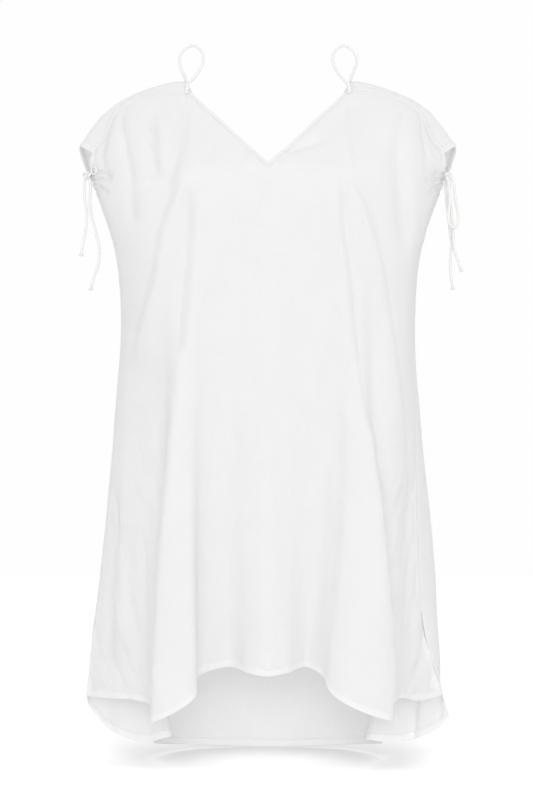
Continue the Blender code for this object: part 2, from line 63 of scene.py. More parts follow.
# Stitches: distances of their lines from the edges, and the shape of one
HEM_STITCH = 8.5
BINDING_STITCH = 5.6
CASING_STITCH = 6.9
GROOVE_WIDTH = 0.8
GROOVE_OUTWARD, GROOVE_INWARD = 0.22, 0.3  # how deep they sink into each face of a hem
STITCH_LENGTH, STITCH_GAP = 2.3, 0.8
TACK_LENGTH, TACK_GAP, TACK_HALF = 0.95, 0.25, 2.4
THREAD_RADIUS = 0.2
THREAD_LIFT = 0.12
STITCH_SIDES = 5
STITCH_RINGS = ((-0.36, 0.8, 0.0), (0.0, 1.0, 0.12), (0.36, 0.8, 0.0))  # along, size and lift
STITCH_TIPS = ((-0.5, -0.15), (0.5, -0.15))  # along and lift

# Relief of the cloth: amplitude, width and length of each kind of unevenness
UNEVEN = ((1.6, 55, 300), (0.7, 21, 90), (0.22, 8, 26))
CRUMPLES = ((2.3, 12, 60), (1.3, 8, 18))
CRUMPLED_OUT, CRUMPLED_DOWN = (128, 165), (430, 600)  # where the crumples set in
FRONT_SEED, BACK_SEED, CRUMPLE_SEED = 1.5, 9.5, 4.5
# Beside a shoulder seam: height, distance from the seam and width of each dip and swell
FLAT_SEAM = ((-1.0, 0.0, 1.7), (-0.8, 4.5, 3.0))
WRAPPED_SEAM = ((-1.0, 0.0, 1.7), (0.9, 3.4, 1.6), (-0.8, 7.6, 2.0))
SIDE_SEAM_DIP, SIDE_SEAM_WIDTH = 1.0, 1.9
PUCKER_HEIGHT, PUCKER_REACH, PUCKER_LENGTH, PUCKER_CHANGE = 0.4, 9, 2.3, 31
HEM_PULL, HEM_PULL_LENGTH, HEM_PULL_REACH = 0.9, 6.5, 9
GATHER_HEIGHT, GATHER_PHASE = 2.2, 0.4
GATHER_PITCH, GATHER_SPREAD = 5.6, 0.045  # from fold to fold at the knot, and how it grows
GATHER_DEPTH, GATHER_UNEVEN, GATHER_END = 20, 10, 80  # how far they reach into the sleeve
GATHER_UP, GATHER_DOWN = 30, 12  # how far they reach along its edge
BUST_CRISP = 0.75  # how sharply the front's inner guides turn at the bust

# Weaves: tones, thread pitch in metres, turn of the threads, share of the light that is let
# through, sheen, and relief in millimetres
Weave = namedtuple("Weave", "name dark light pitch turn letting sheen bump")
BIAS = math.pi / 4
WEAVES = (
    Weave("voile", (0.925, 0.925, 0.925), (0.95, 0.95, 0.95), 0.00045, 0.0, 0.46, 0.08, 0.12),
    Weave("voile_hem", (0.93, 0.93, 0.93), (0.95, 0.95, 0.95), 0.00045, 0.0, 0.34, 0.08, 0.12),
    Weave("binding", (0.94, 0.94, 0.94), (0.96, 0.96, 0.96), 0.00045, BIAS, 0.3, 0.08, 0.12),
    Weave("rouleau", (0.87, 0.865, 0.855), (0.90, 0.895, 0.885), 0.0005, BIAS, 0.1, 0.08, 0.06),
)
WARP, WEFT, CLOUDS = (620, 26, 1), (22, 560, 1), (34, 22, 1)  # noise scales of threads and tone

# Camera, in metres
CAMERA_DISTANCE = 3.0
CAMERA_Z = -0.443
HEIGHT_SEEN = 1.136  # at the garment's middle plane
SENSOR = 24.0
SIDE_SHIFT = -1.5 / 800  # sideways, as a share of the height

# Stage, in metres, watts and degrees
FLOOR_Z = -0.9613
FLOOR_HALF = 3.2
FLOOR_TONES = (0.44, 0.46)
FLOOR_GLOW = 0.21  # what the floor gives the garment
FLOOR_SEEN = 0.50
PAINTED_SHADOW_REACH = 0.12  # how far from the cloth the floor's glow is darkened, a painted shadow
SKY_LIGHT = 0.78  # what the surroundings give the garment
SKY_SEEN = 0.99
BOUNCES = 9  # so that light reaches through layers of sheer cloth
Lamp = namedtuple("Lamp", "name at power size")
LAMPS = (
    Lamp("key", (0.0, -3.4, -0.3), 35.0, 2.0),
    Lamp("back", (0.0, 3.2, -0.1), 7.5, 2.4),
    Lamp("left", (-2.7, 1.5, 0.1), 5.5, 1.4),
    Lamp("right", (2.8, 0.3, 0.1), 4.5, 1.6),
)
LAMPS_AIM = (0.0, 0.0, -0.45)
Sun = namedtuple("Sun", "name strength angle tilt")  # tilt is its angle from straight down
TOP_SUN = Sun("top", 0.58, 80, 28)
LOW_SUN = Sun("low", 3.6, 34, 69)
UNDER_AT, UNDER_AIM = (0.0, -1.3, -0.6), (0.0, 0.15, -0.93)
UNDER_POWER, UNDER_SOFTNESS, UNDER_CONE = 22.0, 0.2, 17

# Heights of the level stations
LEVELS = {"ribs": -230.0, "waist": -330.0, "hip": -470.0, "thigh": -620.0, "slit": -740.0}

# Stations along a guide. The first four and the hem state x, y and z, the others x and y.
STATIONS = ("edge", "turn", "chest", "bust", "ribs", "waist", "hip", "thigh", "slit", "hem")
BUST_AT, SLIT_AT = STATIONS.index("bust"), STATIONS.index("slit")

# The net's lines: distances from an edge where it is dense, and steps between stations and guides
NECK_STEPS = (0, 0.5, 1.5, 2.8, 4.2, 5.6, 6.3, 7.0)
HEM_STEPS = (0, 0.5, 1.5, 3.2, 5.0, 6.9, 8.0, 8.5, 9.1, 9.8, 10.3, 11.6)
ROWS_BETWEEN = (6, 10, 13, 25, 24, 32, 32, 26, 24)
COLUMNS_OUTSIDE = (5, 10, 12, 14)
COLUMNS_INSIDE = (14, 10, 11, 9, 8)
COLUMNS_HALF = COLUMNS_OUTSIDE + COLUMNS_INSIDE
COLUMNS_BETWEEN = COLUMNS_HALF + COLUMNS_HALF[::-1]

Upper = namedtuple("Upper", "edge turn chest bust ribs")
Lower = namedtuple("Lower", "waist hip thigh slit hem")

# Front, from the side seam to the centre. The upper half is the same on both sides.
FRONT_UPPER = (
    Upper((249, -15, -94), (250, -21, -103), (250, -22, -119), (246, -12, -137), (217, -10)),  # seam
    Upper((233, -14, -77), (236, -26, -92), (238, -38, -116), (235, -38, -148), (210, -46)),  # outer
    Upper((214, -9, -36), (216, -26, -55), (210, -54, -96), (202, -70, -148), (186, -80)),  # mid
    Upper((168, -8, -10), (164, -29, -32), (154, -67, -78), (142, -98, -134), (140, -106)),  # valley
    Upper((115, -6, -2), (115, -26, -25), (113, -70, -76), (109, -111, -126), (108, -116)),  # ridge
    Upper((92, -26.5, -26), (92, -45, -47), (91, -80, -87), (90, -113, -126), (91, -117)),  # inner
    Upper((69, -47, -49), (69, -63.5, -68), (69, -90, -98), (69, -114, -126), (69, -116)),  # foot
    Upper((46, -67.5, -72.5), (46, -80.5, -87.5), (46, -99, -109), (46, -114, -127), (46, -115.5)),
    Upper((22, -88.5, -97), (22, -97, -106.5), (22, -106, -117), (22, -114, -129), (22, -115.5)),
    Upper((0, -108, -119), (0, -114, -126.5), (0, -115, -133), (0, -115, -142), (0, -116)),  # centre
)
FRONT_LOWER_LEFT = (
    Lower((207, -9), (216, -11), (229, -12), (243, -12), (256, -15, -860)),
    Lower((196, -45), (204, -44), (212, -48), (219, -44), (221, -46, -860)),
    Lower((172, -78), (170, -76), (176, -74), (182, -70), (184, -66, -859)),
    Lower((142, -100), (140, -97), (146, -95), (150, -91), (153, -88, -868)),
    Lower((118.5, -118), (126.5, -127), (141.5, -137), (148.5, -144), (156.5, -150, -877.5)),
    Lower((100, -120), (104, -128), (103, -140), (100, -148), (97, -155, -842)),
    Lower((84, -118), (92, -120), (95, -124), (96, -127), (95, -124, -820)),
    Lower((55, -116), (56, -115), (54, -112), (53, -109), (52, -107, -808)),
    Lower((25, -117.5), (26, -121), (25, -125), (24, -130), (24, -134, -814)),
    Lower((0, -119), (0, -124), (0, -131), (0, -138), (0, -143, -816.5)),
)
FRONT_LOWER_RIGHT = (
    Lower((206.5, -12), (208, -32), (210, -44), (216, -40), (243, -32, -857.5)),
    Lower((190, -62), (187, -72), (191, -68), (196, -62), (209, -50, -863)),
    Lower((168, -86), (162, -98), (174, -92), (180, -82), (183, -67, -856)),
    Lower((140, -101), (144, -103), (157, -100), (166, -96), (169.5, -88, -863)),
    Lower((117.5, -118), (134, -127), (153.5, -137), (165, -144), (169, -148, -875.5)),
    Lower((100, -120), (108, -128), (104, -140), (92, -147), (82, -150, -835)),
    Lower((84, -118), (94, -121), (90, -125), (80, -128), (73, -128, -817)),
    Lower((55, -116), (58, -115), (56, -112), (54, -109), (52, -107, -808)),
    Lower((25, -117.5), (26, -121), (25, -125), (24, -130), (22, -135, -814)),
)

# Back, from the side seam to the centre. It starts on the shoulder seam, in front of the ridge.
BACK_UPPER = (
    Upper((249, -15, -94), (267, 1, -83), (263, 21, -106), (246, -12, -137), (217, -10)),  # seam
    Upper((233, -14, -77), (251, 4, -59), (250, 36, -92), (243, 14, -146), (216, 14)),  # wrap
    Upper((214, -9, -36), (224, 5, -29), (226, 52, -78), (226, 46, -148), (208, 40)),
    Upper((168, -8, -10), (172, 5, -2), (180, 58, -52), (198, 72, -148), (191, 62)),
    Upper((115, -6, -2), (117, 4, 8), (126, 54, -38), (162, 88, -148), (166, 80)),
    Upper((92, 14, -26), (93, 26, -34), (100, 60, -66), (128, 98, -148), (132, 94)),  # fold edge
    Upper((69, 32, -51), (70, 43, -62), (78, 72, -92), (98, 104, -150), (98, 102)),  # fold back
    Upper((46, 50.5, -76), (47, 59, -86), (53, 82, -113), (64, 107, -152), (63, 106)),
    Upper((22, 70, -102), (23, 77, -111), (26, 90, -130), (32, 108, -156), (32, 107)),
    Upper((0, 88, -126), (0, 94, -134.5), (0, 101, -146), (0, 107.5, -163), (0, 106)),  # centre
)
BACK_LOWER_LEFT = (
    Lower((207, -9), (216, -11), (229, -12), (243, -12), (256, -9, -862)),
    Lower((208.5, 14), (217, 16), (231, 16), (244, 12), (253, 6, -878)),
    Lower((201, 42), (209, 46), (222, 46), (232, 34), (229, 2, -907)),
    Lower((186, 63), (193, 70), (204, 68), (208, 42), (203, -15, -918)),
    Lower((162, 82), (168, 90), (177, 84), (180, 42), (173, -28, -923)),
    Lower((130, 95), (136, 106), (150, 96), (162, 44), (141.5, -40, -915)),
    Lower((97, 102), (102, 115), (122, 116), (160, 88), (165, 62, -940)),
    Lower((63, 106), (66, 120), (82, 131), (112, 132), (118, 134, -953)),
    Lower((31, 108), (33, 122), (42, 134), (58, 143), (62, 152, -958)),
    Lower((0, 108), (0, 121), (0, 134), (0, 145), (0, 158, -960)),
)
BACK_LOWER_RIGHT = (
    Lower((206.5, -12), (208, -32), (210, -44), (216, -40), (257, 0, -890)),
    Lower((208.5, 10), (216, 10), (231.5, 6), (241, 6), (243, 4, -908)),
    Lower((202, 38), (209, 44), (223, 44), (232, 32), (209.5, -12, -921)),
    Lower((187, 62), (194, 68), (206, 66), (211, 40), (204.5, -40, -917)),
    Lower((162, 82), (168, 90), (178, 84), (184, 40), (181, -42, -922)),
    Lower((130, 95), (136, 106), (150, 96), (164, 44), (144, -40, -919)),
    *BACK_LOWER_LEFT[6:9],
)
HALF_GUIDES = len(FRONT_UPPER)
NECK_GUIDE = 4  # the guide that starts at the neck point
LAST_GUIDE = 2 * (HALF_GUIDES - 1)
CORNER_GUIDES = (NECK_GUIDE, HALF_GUIDES - 1, LAST_GUIDE - NECK_GUIDE)

# Creases laid on the front. A route is x and z, from the top down or from -X to +X. Height
# is outwards, and before and after are the widths on the -X or upper side and on the other side.
Crease = namedtuple("Crease", "height before after power fade route")
FRONT_CREASES = (
    # the crisp line at the bust
    Crease(1.2, 14, 4, 1.3, 18, ((-114, -119), (-52, -120), (0, -121), (57, -120), (112, -119))),
    # -X side: two long folds that step down towards the side, each with a valley at its foot
    Crease(4.5, 9, 24, 1.5, 40, ((-95, -142), (-97, -211), (-101, -272), (-106, -333), (-112, -400))),
    Crease(-4.4, 8, 7, 1.5, 24, ((-108, -140), (-109, -196), (-113, -257), (-119, -317), (-124, -385))),
    Crease(
        3.4, 7, 20, 1.3, 80,
        ((-117, -337), (-121, -423), (-126, -472), (-134, -563), (-141, -624), (-147, -688),
         (-149, -747), (-153, -804), (-158, -895)),
    ),
    Crease(
        7.0, 10, 20, 1.5, 30,
        ((-105, -120), (-119, -156), (-140, -210), (-150, -272), (-167, -331), (-182, -400)),
    ),
    Crease(
        -3.2, 12, 7, 1.4, 24,
        ((-124, -139), (-132, -158), (-151, -212), (-162, -272), (-176, -324), (-190, -376)),
    ),
    Crease(1.6, 9, 9, 1.6, 60, ((-98, -520), (-98, -646), (-98, -830))),
    Crease(1.6, 13, 13, 1.8, 60, ((-52, -540), (-54, -661), (-52, -795))),
    # the pleats beside it, down to the hem
    Crease(-4.2, 5, 7, 1.3, 40, ((-201, -560), (-193, -692), (-187, -739), (-178, -785), (-177, -850))),
    Crease(-4.5, 6, 7, 1.4, 50, ((-176, -600), (-171, -700), (-169, -780), (-172, -880))),
    Crease(4.0, 9, 10, 1.5, 60, ((-204, -530), (-203, -638), (-205, -722), (-208, -820))),
    Crease(-6.5, 8, 9, 1.5, 50, ((-212, -540), (-217, -640), (-222, -760), (-226, -850))),
    # +X side
    Crease(4.5, 24, 9, 1.5, 40, ((92, -142), (94, -204), (101, -266), (108, -334), (116, -400))),
    Crease(
        -4.2, 5, 5.5, 1.5, 30,
        ((102, -142), (105, -211), (114, -272), (121, -347), (130, -423), (140, -500)),
    ),
    Crease(
        3.4, 20, 7, 1.3, 80,
        ((129, -400), (135, -476), (144, -551), (154, -619), (158, -674), (163, -716), (168, -765),
         (174, -814), (173, -895)),
    ),
    Crease(
        6.0, 24, 13, 1.5, 30,
        ((104, -120), (117, -160), (148, -241), (164, -331), (174, -397), (182, -450), (186, -585)),
    ),
    Crease(
        -3.2, 5.5, 7, 1.4, 30,
        ((114, -139), (139, -180), (158, -256), (173, -346), (186, -447), (193, -565), (196, -624),
         (191, -721), (186, -800)),
    ),
    Crease(3.0, 9, 9, 1.7, 60, ((90, -500), (86, -661), (74, -825))),
    Crease(1.6, 13, 13, 1.8, 60, ((52, -540), (54, -661), (52, -795))),
    Crease(-4.2, 5, 6, 1.4, 30, ((207, -560), (210, -640), (215, -720), (222, -800))),
    # centre and neck
    Crease(1.4, 14, 14, 2.0, 60, ((0, -170), (0, -420), (0, -870))),
    Crease(-3.6, 13, 4.5, 1.4, 14, ((18, -103), (48, -94), (84, -80))),
    Crease(1.8, 6, 9, 1.4, 10, ((-78, -89), (-58, -95), (-34, -103))),
    # sleeve and shoulder on the -X side
    Crease(-5.2, 5, 6, 1.4, 30, ((-209, -20), (-199, -83), (-190, -147), (-187, -215))),
    Crease(-5.0, 4.5, 5, 1.4, 14, ((-221, -38), (-233, -88), (-225, -135))),
    Crease(-8.0, 7, 8, 1.5, 26, ((-163, -26), (-160, -97), (-154, -150))),
    Crease(-6.8, 9, 9, 1.6, 44, ((-115, -2), (-118, -60), (-124, -95), (-134, -130), (-148, -165))),
    # sleeve and shoulder on the +X side
    Crease(-3.2, 7.5, 7.5, 1.5, 16, ((189, -26), (183, -80), (180, -122), (185, -185), (194, -240))),
    Crease(-5.0, 13, 7.5, 1.5, 40, ((183, -70), (180, -122), (185, -185), (194, -245))),
    Crease(3.4, 8, 14, 1.5, 16, ((202, -30), (196, -95), (197, -138), (201, -186), (208, -232))),
    Crease(-2.2, 8, 5, 1.4, 20, ((184, -60), (176, -98), (160, -132))),
    Crease(-4.2, 4.5, 5, 1.4, 12, ((216, -30), (222, -113), (223, -145))),
    Crease(-5.0, 8, 10, 1.6, 20, ((114, -14), (118, -60), (124, -118))),
    # short folds where the cords gather the sleeves
    Crease(-3.8, 3.4, 3.6, 1.5, 6, ((-243, -121), (-230, -126), (-214, -133))),
    Crease(-3.8, 3.4, 3.6, 1.5, 6, ((-242, -133), (-230, -135), (-217, -139))),
    Crease(-3.6, 3.6, 4.0, 1.5, 6, ((-241, -143), (-232, -148), (-222, -157))),
    Crease(-3.8, 3.4, 3.6, 1.5, 6, ((243, -124), (233, -127), (222, -131))),
    Crease(-3.8, 3.4, 3.6, 1.5, 6, ((242, -134), (232, -136), (221, -138))),
    Crease(-3.6, 3.6, 4.0, 1.5, 6, ((240, -144), (233, -149), (224, -158))),
)
BACK_CREASES = (
    # two long folds that fall from the shoulder blades, each with a valley at its inner foot
    Crease(
        5.0, 22, 9, 1.5, 70,
        ((-104, -120), (-106, -210), (-110, -340), (-120, -500), (-132, -640), (-136, -770)),
    ),
    Crease(
        -4.6, 8, 9, 1.5, 70,
        ((-86, -140), (-88, -230), (-91, -350), (-98, -500), (-108, -640), (-112, -770)),
    ),
    Crease(
        4.8, 9, 22, 1.5, 70,
        ((108, -130), (112, -240), (118, -370), (128, -520), (140, -650), (146, -770)),
    ),
    Crease(
        -4.4, 9, 8, 1.5, 70,
        ((90, -160), (94, -260), (99, -380), (107, -520), (118, -650), (124, -770)),
    ),
    # drag lines from the sleeves towards the waist
    Crease(-4.2, 9, 6, 1.4, 34, ((-210, -70), (-196, -130), (-176, -200), (-158, -280), (-148, -350))),
    Crease(3.2, 12, 8, 1.5, 34, ((-192, -64), (-178, -130), (-158, -210), (-142, -290))),
    Crease(-4.2, 6, 9, 1.4, 34, ((212, -74), (198, -134), (180, -196), (164, -270), (152, -340))),
    Crease(3.2, 8, 12, 1.5, 34, ((194, -60), (182, -124), (164, -200), (148, -280))),
    Crease(-3.0, 7, 7, 1.5, 30, ((-150, -44), (-140, -100), (-134, -160))),
    Crease(-3.0, 7, 7, 1.5, 30, ((152, -46), (143, -104), (138, -170))),
    # shallow folds between them
    Crease(2.4, 15, 15, 1.8, 90, ((5, -230), (8, -420), (3, -640), (4, -900))),
    Crease(-2.4, 11, 13, 1.7, 90, ((-36, -280), (-40, -450), (-41, -640), (-43, -900))),
    Crease(-2.2, 13, 11, 1.7, 90, ((42, -320), (44, -480), (47, -660), (46, -900))),
    Crease(-3.4, 8, 8, 1.5, 60, ((-166, -420), (-172, -540), (-184, -680))),
    Crease(-3.4, 8, 8, 1.5, 60, ((170, -440), (178, -560), (188, -690))),
)

STRAP_DIAMETER = 4.6
STRAP_CLEARANCE = 0.95  # from the panel's middle surface to the strap's side
STRAP_PRESSED = 0.45  # the share of its thickness that a sewn-down foot keeps
STRAP_RISES = (6, 15)  # where it turns round again, from its ends
STRAP_ROUTE = (
    (113, -7, 5), (107, -4, 12), (98, -1, 24), (92.5, 0, 36), (92.5, 0, 47), (98, 0, 56.5),
    (107, 0, 60.5), (116, 0, 57), (124, 0, 48), (126, 0, 38), (123, 2, 26), (118.5, 6, 17),
)
STRAP_FOOT = (11.0, 5.0)
TACK_ROWS = (0.22, 0.5)

# A rouleau's unevenness and its seam's groove, as shares of its radius
TUBE_SWELL, TUBE_PUCKER, TUBE_DIP = 0.035, 0.03, 0.085
TUBE_SEAM_START, TUBE_SEAM_WIND, TUBE_SEAM_HALF = 1.1, 0.024, 0.22  # in radians, winding per mm
TUBE_END = ((0.55, 0.35), (0.18, 0.48))  # size and distance of an end's loops, in radii

CORD_DIAMETER = 4.2
CORD_STEP = 1.6  # between the points of a cord's path
TIP_SIZE = (6.4, 6.4, 8.0)
TIP_RADIUS = 1.35
KNOT_SIZE = (13.0, 12.0, 13.0)
KNOTS = {"l": (-254.5, -28, -127), "r": (253.5, -28.5, -128.5)}
CASING_MOUTHS = ((247.0, -14.5, -129.5), (248.0, -6.0, -129.0))
RING_CENTER = (-244.5, -36, -121.3)
RING_ACROSS = (0.55, -0.83, 0.0)
RING_HALVES = (7.0, 5.0)
RING_THICKNESS = 2.6
TIES = {
    "tie_end_l_short": (
        (-257.6, -27.5, -133.9), (-258.2, -27.5, -146), (-258.2, -27, -159), (-255.4, -27, -176),
        (-255.4, -27, -190), (-256.8, -27, -204), (-260.3, -27, -222), (-262.3, -27, -233.5),
    ),
    "tie_end_l_long": (
        (-250.6, -27, -133.7), (-249.8, -27, -146), (-250.5, -27, -164), (-248.4, -27, -184),
        (-242, -27, -208), (-237.5, -27, -232), (-238.5, -27, -249), (-244.9, -27, -270),
        (-248.2, -27, -282),
    ),
    "tie_end_r_long": (
        (250.5, -25.5, -135), (250.7, -25, -150), (253, -24, -176), (256.4, -24, -203.5),
        (258.5, -24, -224.7), (257.1, -24, -243), (257.1, -24, -262.7), (259.6, -24, -280.5),
    ),
    "tie_end_r_short": (
        (254.5, -28.5, -135.4), (255, -29.5, -150), (257.3, -30, -176), (260, -30, -203),
        (261.8, -30, -230), (266.5, -30, -245.5), (270.2, -30, -256),
    ),
}
BOW_LOOP_R = (
    (259.1, -32.3, -133.2), (261.5, -33.5, -145), (262.5, -33, -157), (265, -32, -170),
    (267, -32, -182), (266.8, -33, -193.5), (262.5, -36, -201), (256.5, -39.5, -199.5),
    (252.8, -41, -191), (252.9, -40.5, -180), (255, -39.5, -165), (254.5, -38, -150),
    (252.8, -35.5, -134.6),
)


def unit(vectors):
    """Each vector with length 1."""
    vectors = np.asarray(vectors, float)
    return vectors / np.maximum(np.linalg.norm(vectors, axis=-1, keepdims=True), 1e-12)


def fade(value, low, high):
    """A smooth rise from 0 at low to 1 at high."""
    share = np.clip((np.asarray(value, float) - low) / (high - low), 0, 1)
    return share * share * (3 - 2 * share)


def ridge(distance, center, width):
    """1 at the center, falling to nothing on both sides."""
    return np.exp(-(((distance - center) / width) ** 2))


def run_of(points):
    """The distance of each point from the first one, along the line."""
    steps = np.linalg.norm(np.diff(points, axis=0), axis=1)
    return np.concatenate([[0.0], np.cumsum(steps)])


# Camera


def add_camera():
    """The camera faces the front squarely, a little above the garment's middle."""
    data = bpy.data.cameras.new("camera")
    data.sensor_width = SENSOR
    data.lens = SENSOR * CAMERA_DISTANCE / HEIGHT_SEEN
    data.shift_x = SIDE_SHIFT
    camera = bpy.data.objects.new("camera", data)
    camera.location = (0.0, -CAMERA_DISTANCE, CAMERA_Z)
    camera.rotation_euler = (math.pi / 2, 0.0, 0.0)
    bpy.context.scene.collection.objects.link(camera)
    bpy.context.scene.camera = camera


# Materials


class Nodes:
    """A short way to build a material's node tree."""

    def __init__(self, name):
        self.material = bpy.data.materials.new(name)
        self.material.use_nodes = True
        self.tree = self.material.node_tree
        self.shader = self.tree.nodes["Principled BSDF"]
        self.output = self.tree.nodes["Material Output"]

    def add(self, kind, settings=None, **inputs):
        """A new node. An input is a number, or the output socket that feeds it."""
        node = self.tree.nodes.new(kind)
        for key, value in (settings or {}).items():
            setattr(node, key, value)
        for key, value in inputs.items():
            self.feed(node, int(key[1:]) if key[1:].isdigit() else key.replace("_", " "), value)
        return node

    def feed(self, node, socket, value):
        """Links an output socket to an input, or sets the input to a number."""
        if isinstance(value, bpy.types.NodeSocket):
            self.tree.links.new(value, node.inputs[socket])
        else:
            node.inputs[socket].default_value = value

    def math(self, operation, first, second=0.0):
        """The result of a sum on two values."""
        return self.add("ShaderNodeMath", {"operation": operation}, i0=first, i1=second).outputs[0]

    def noise(self, coordinates, scale, detail=2.0, stretch=(1, 1, 1)):
        """Noise on stretched coordinates."""
        mapping = self.add("ShaderNodeMapping", None, Vector=coordinates, Scale=stretch)
        node = self.add("ShaderNodeTexNoise", None, Vector=mapping.outputs[0], Scale=scale, Detail=detail)
        return node.outputs["Fac"]

    def mix(self, share, dark, light):
        """A colour between two tones."""
        mix = self.add("ShaderNodeMix", {"data_type": "RGBA"}, i0=share)
        mix.inputs[6].default_value = (*dark, 1.0)
        mix.inputs[7].default_value = (*light, 1.0)
        return mix.outputs[2]


def woven(name, dark, light, pitch, turn, letting, sheen, bump):
    """Plain-woven cloth with thicker and thinner threads, which lets part of the light through.

    The map's units are metres. turn is the angle of the threads, letting the share of the light.
    """
    n = Nodes(name)
    uv = n.add("ShaderNodeUVMap", {"uv_map": "cloth"}).outputs[0]
    mapping = n.add("ShaderNodeMapping", None, Vector=uv, Rotation=(0, 0, turn)).outputs[0]
    axes = n.add("ShaderNodeSeparateXYZ", None, Vector=mapping).outputs
    waves = [n.math("SINE", n.math("MULTIPLY", axes[k], math.pi / pitch)) for k in (0, 1)]
    over = n.math("MULTIPLY", *waves)
    threads = n.math("ADD", n.math("ABSOLUTE", waves[0]), n.math("ABSOLUTE", waves[1]))
    weave = n.math("ADD", n.math("MULTIPLY", over, 0.5), n.math("MULTIPLY", threads, 0.25))
    warp = n.noise(mapping, 1.0, 3.0, WARP)
    weft = n.noise(mapping, 1.0, 3.0, WEFT)
    slubs = n.math("MULTIPLY", n.math("ADD", warp, weft), 0.5)
    clouds = n.noise(mapping, 1.0, 4.0, CLOUDS)
    tone = n.math("ADD", n.math("MULTIPLY", slubs, 0.8), n.math("MULTIPLY", clouds, 0.2))
    share = n.add("ShaderNodeMapRange", None, Value=tone, i1=0.36, i2=0.64).outputs[0]
    color = n.mix(share, dark, light)
    height = n.math("ADD", n.math("MULTIPLY", weave, 0.35), n.math("MULTIPLY", slubs, 1.1))
    relief = n.add("ShaderNodeBump", None, Height=height, Strength=0.5, Distance=bump * MM).outputs[0]
    rough = n.add("ShaderNodeMapRange", None, Value=tone, i1=0.3, i2=0.7, i3=0.9, i4=0.78).outputs[0]
    for key, value in (("Base Color", color), ("Roughness", rough), ("Normal", relief),
                       ("Sheen Weight", sheen), ("Sheen Roughness", 0.45), ("Specular IOR Level", 0.25)):
        n.feed(n.shader, key, value)
    through = n.add("ShaderNodeBsdfTranslucent", None, Color=color, Normal=relief)
    both = n.add("ShaderNodeMixShader", None, i0=letting, i1=n.shader.outputs[0], i2=through.outputs[0])
    n.feed(n.output, "Surface", both.outputs[0])
    return n.material


def thread_material():
    """Twisted sewing thread."""
    n = Nodes("thread")
    uv = n.add("ShaderNodeUVMap", {"uv_map": "cloth"}).outputs[0]
    twist = n.add("ShaderNodeTexWave", {"bands_direction": "DIAGONAL"}, Vector=uv, Scale=900.0)
    color = n.mix(twist.outputs["Fac"], (0.78, 0.78, 0.77), (0.88, 0.88, 0.87))
    n.feed(n.shader, "Base Color", color)
    relief = n.add("ShaderNodeBump", None, Height=twist.outputs["Fac"], Strength=0.4, Distance=0.05 * MM)
    n.feed(n.shader, "Normal", relief.outputs[0])
    n.feed(n.shader, "Roughness", 0.5)
    return n.material


def floor_material():
    """Plain pale paper with a very faint grain. Its glow lights the garment, and the glow that the camera
    sees is darkened near the cloth by a painted shadow.
    """
    n = Nodes("floor")
    grain = n.noise(n.add("ShaderNodeTexCoord").outputs["Object"], 14.0)
    dark, light = FLOOR_TONES
    paper = n.add("ShaderNodeMapRange", None, Value=grain, i1=0.0, i2=1.0, i3=dark, i4=light).outputs[0]
    n.feed(n.shader, "Base Color", paper)
    is_seen = n.add("ShaderNodeLightPath").outputs["Is Camera Ray"]
    # painted shadow: the glow that the camera sees is darker where the cloth is near
    painted_shadow = n.add("ShaderNodeAmbientOcclusion", {"samples": 8}, Distance=PAINTED_SHADOW_REACH).outputs["AO"]
    seen = n.math("MULTIPLY", painted_shadow, FLOOR_SEEN)
    glow = n.add("ShaderNodeMapRange", None, Value=is_seen, i1=0.0, i2=1.0, i3=FLOOR_GLOW, i4=seen)
    glow = glow.outputs[0]
    for key, value in (("Roughness", 0.9), ("Specular IOR Level", 0.0),
                       ("Emission Color", (1.0, 1.0, 1.0, 1.0)), ("Emission Strength", glow)):
        n.feed(n.shader, key, value)
    return n.material


# Meshes


def mesh_object(name, points, faces, maps, materials, sharp, face_materials=None):
    """A smooth mesh, in millimetres, with a map in metres for its weave."""
    mesh = bpy.data.meshes.new(name)
    mesh.from_pydata((np.asarray(points) * MM).tolist(), [], faces)
    bm = bmesh.new()
    bm.from_mesh(mesh)
    bmesh.ops.recalc_face_normals(bm, faces=bm.faces)
    bm.to_mesh(mesh)
    bm.free()
    corners = np.empty(len(mesh.loops), np.int32)
    mesh.loops.foreach_get("vertex_index", corners)
    layer = mesh.uv_layers.new(name="cloth")
    layer.uv.foreach_set("vector", (np.asarray(maps)[corners] * MM).astype(np.float32).ravel())
    mesh.shade_smooth()
    mesh.set_sharp_from_angle(angle=math.radians(sharp))
    obj = bpy.data.objects.new(name, mesh)
    bpy.context.scene.collection.objects.link(obj)
    for material in materials:
        mesh.materials.append(material)
    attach(obj, "root")
    if face_materials is not None:
        mesh.polygons.foreach_set("material_index", np.asarray(face_materials, np.int32))
    return obj


def dress(obj, node):
    """Hides the solid that a piece takes the place of, and returns the piece."""
    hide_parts(node)
    return obj


def grid_faces(numbers):
    """Quads for a grid of vertex numbers."""
    quads = np.stack([numbers[:-1, :-1], numbers[1:, :-1], numbers[1:, 1:], numbers[:-1, 1:]], -1)
    return quads.reshape(-1, 4)


def loops_object(name, loops, maps, material, sharp, closed=False):
    """A closed body through loops of points, capped at its ends unless it runs round."""
    loops = np.asarray(loops, float)
    count, around = loops.shape[:2]
    numbers = np.arange(count * around).reshape(count, around)
    wrapped = np.hstack([numbers, numbers[:, :1]])
    if closed:
        wrapped = np.vstack([wrapped, wrapped[:1]])
    faces = grid_faces(wrapped).tolist()
    if not closed:
        faces += [numbers[0][::-1].tolist(), numbers[-1].tolist()]
    maps = np.asarray(maps, float).reshape(-1, 2)
    return mesh_object(name, loops.reshape(-1, 3), faces, maps, [material], sharp)


# Cords


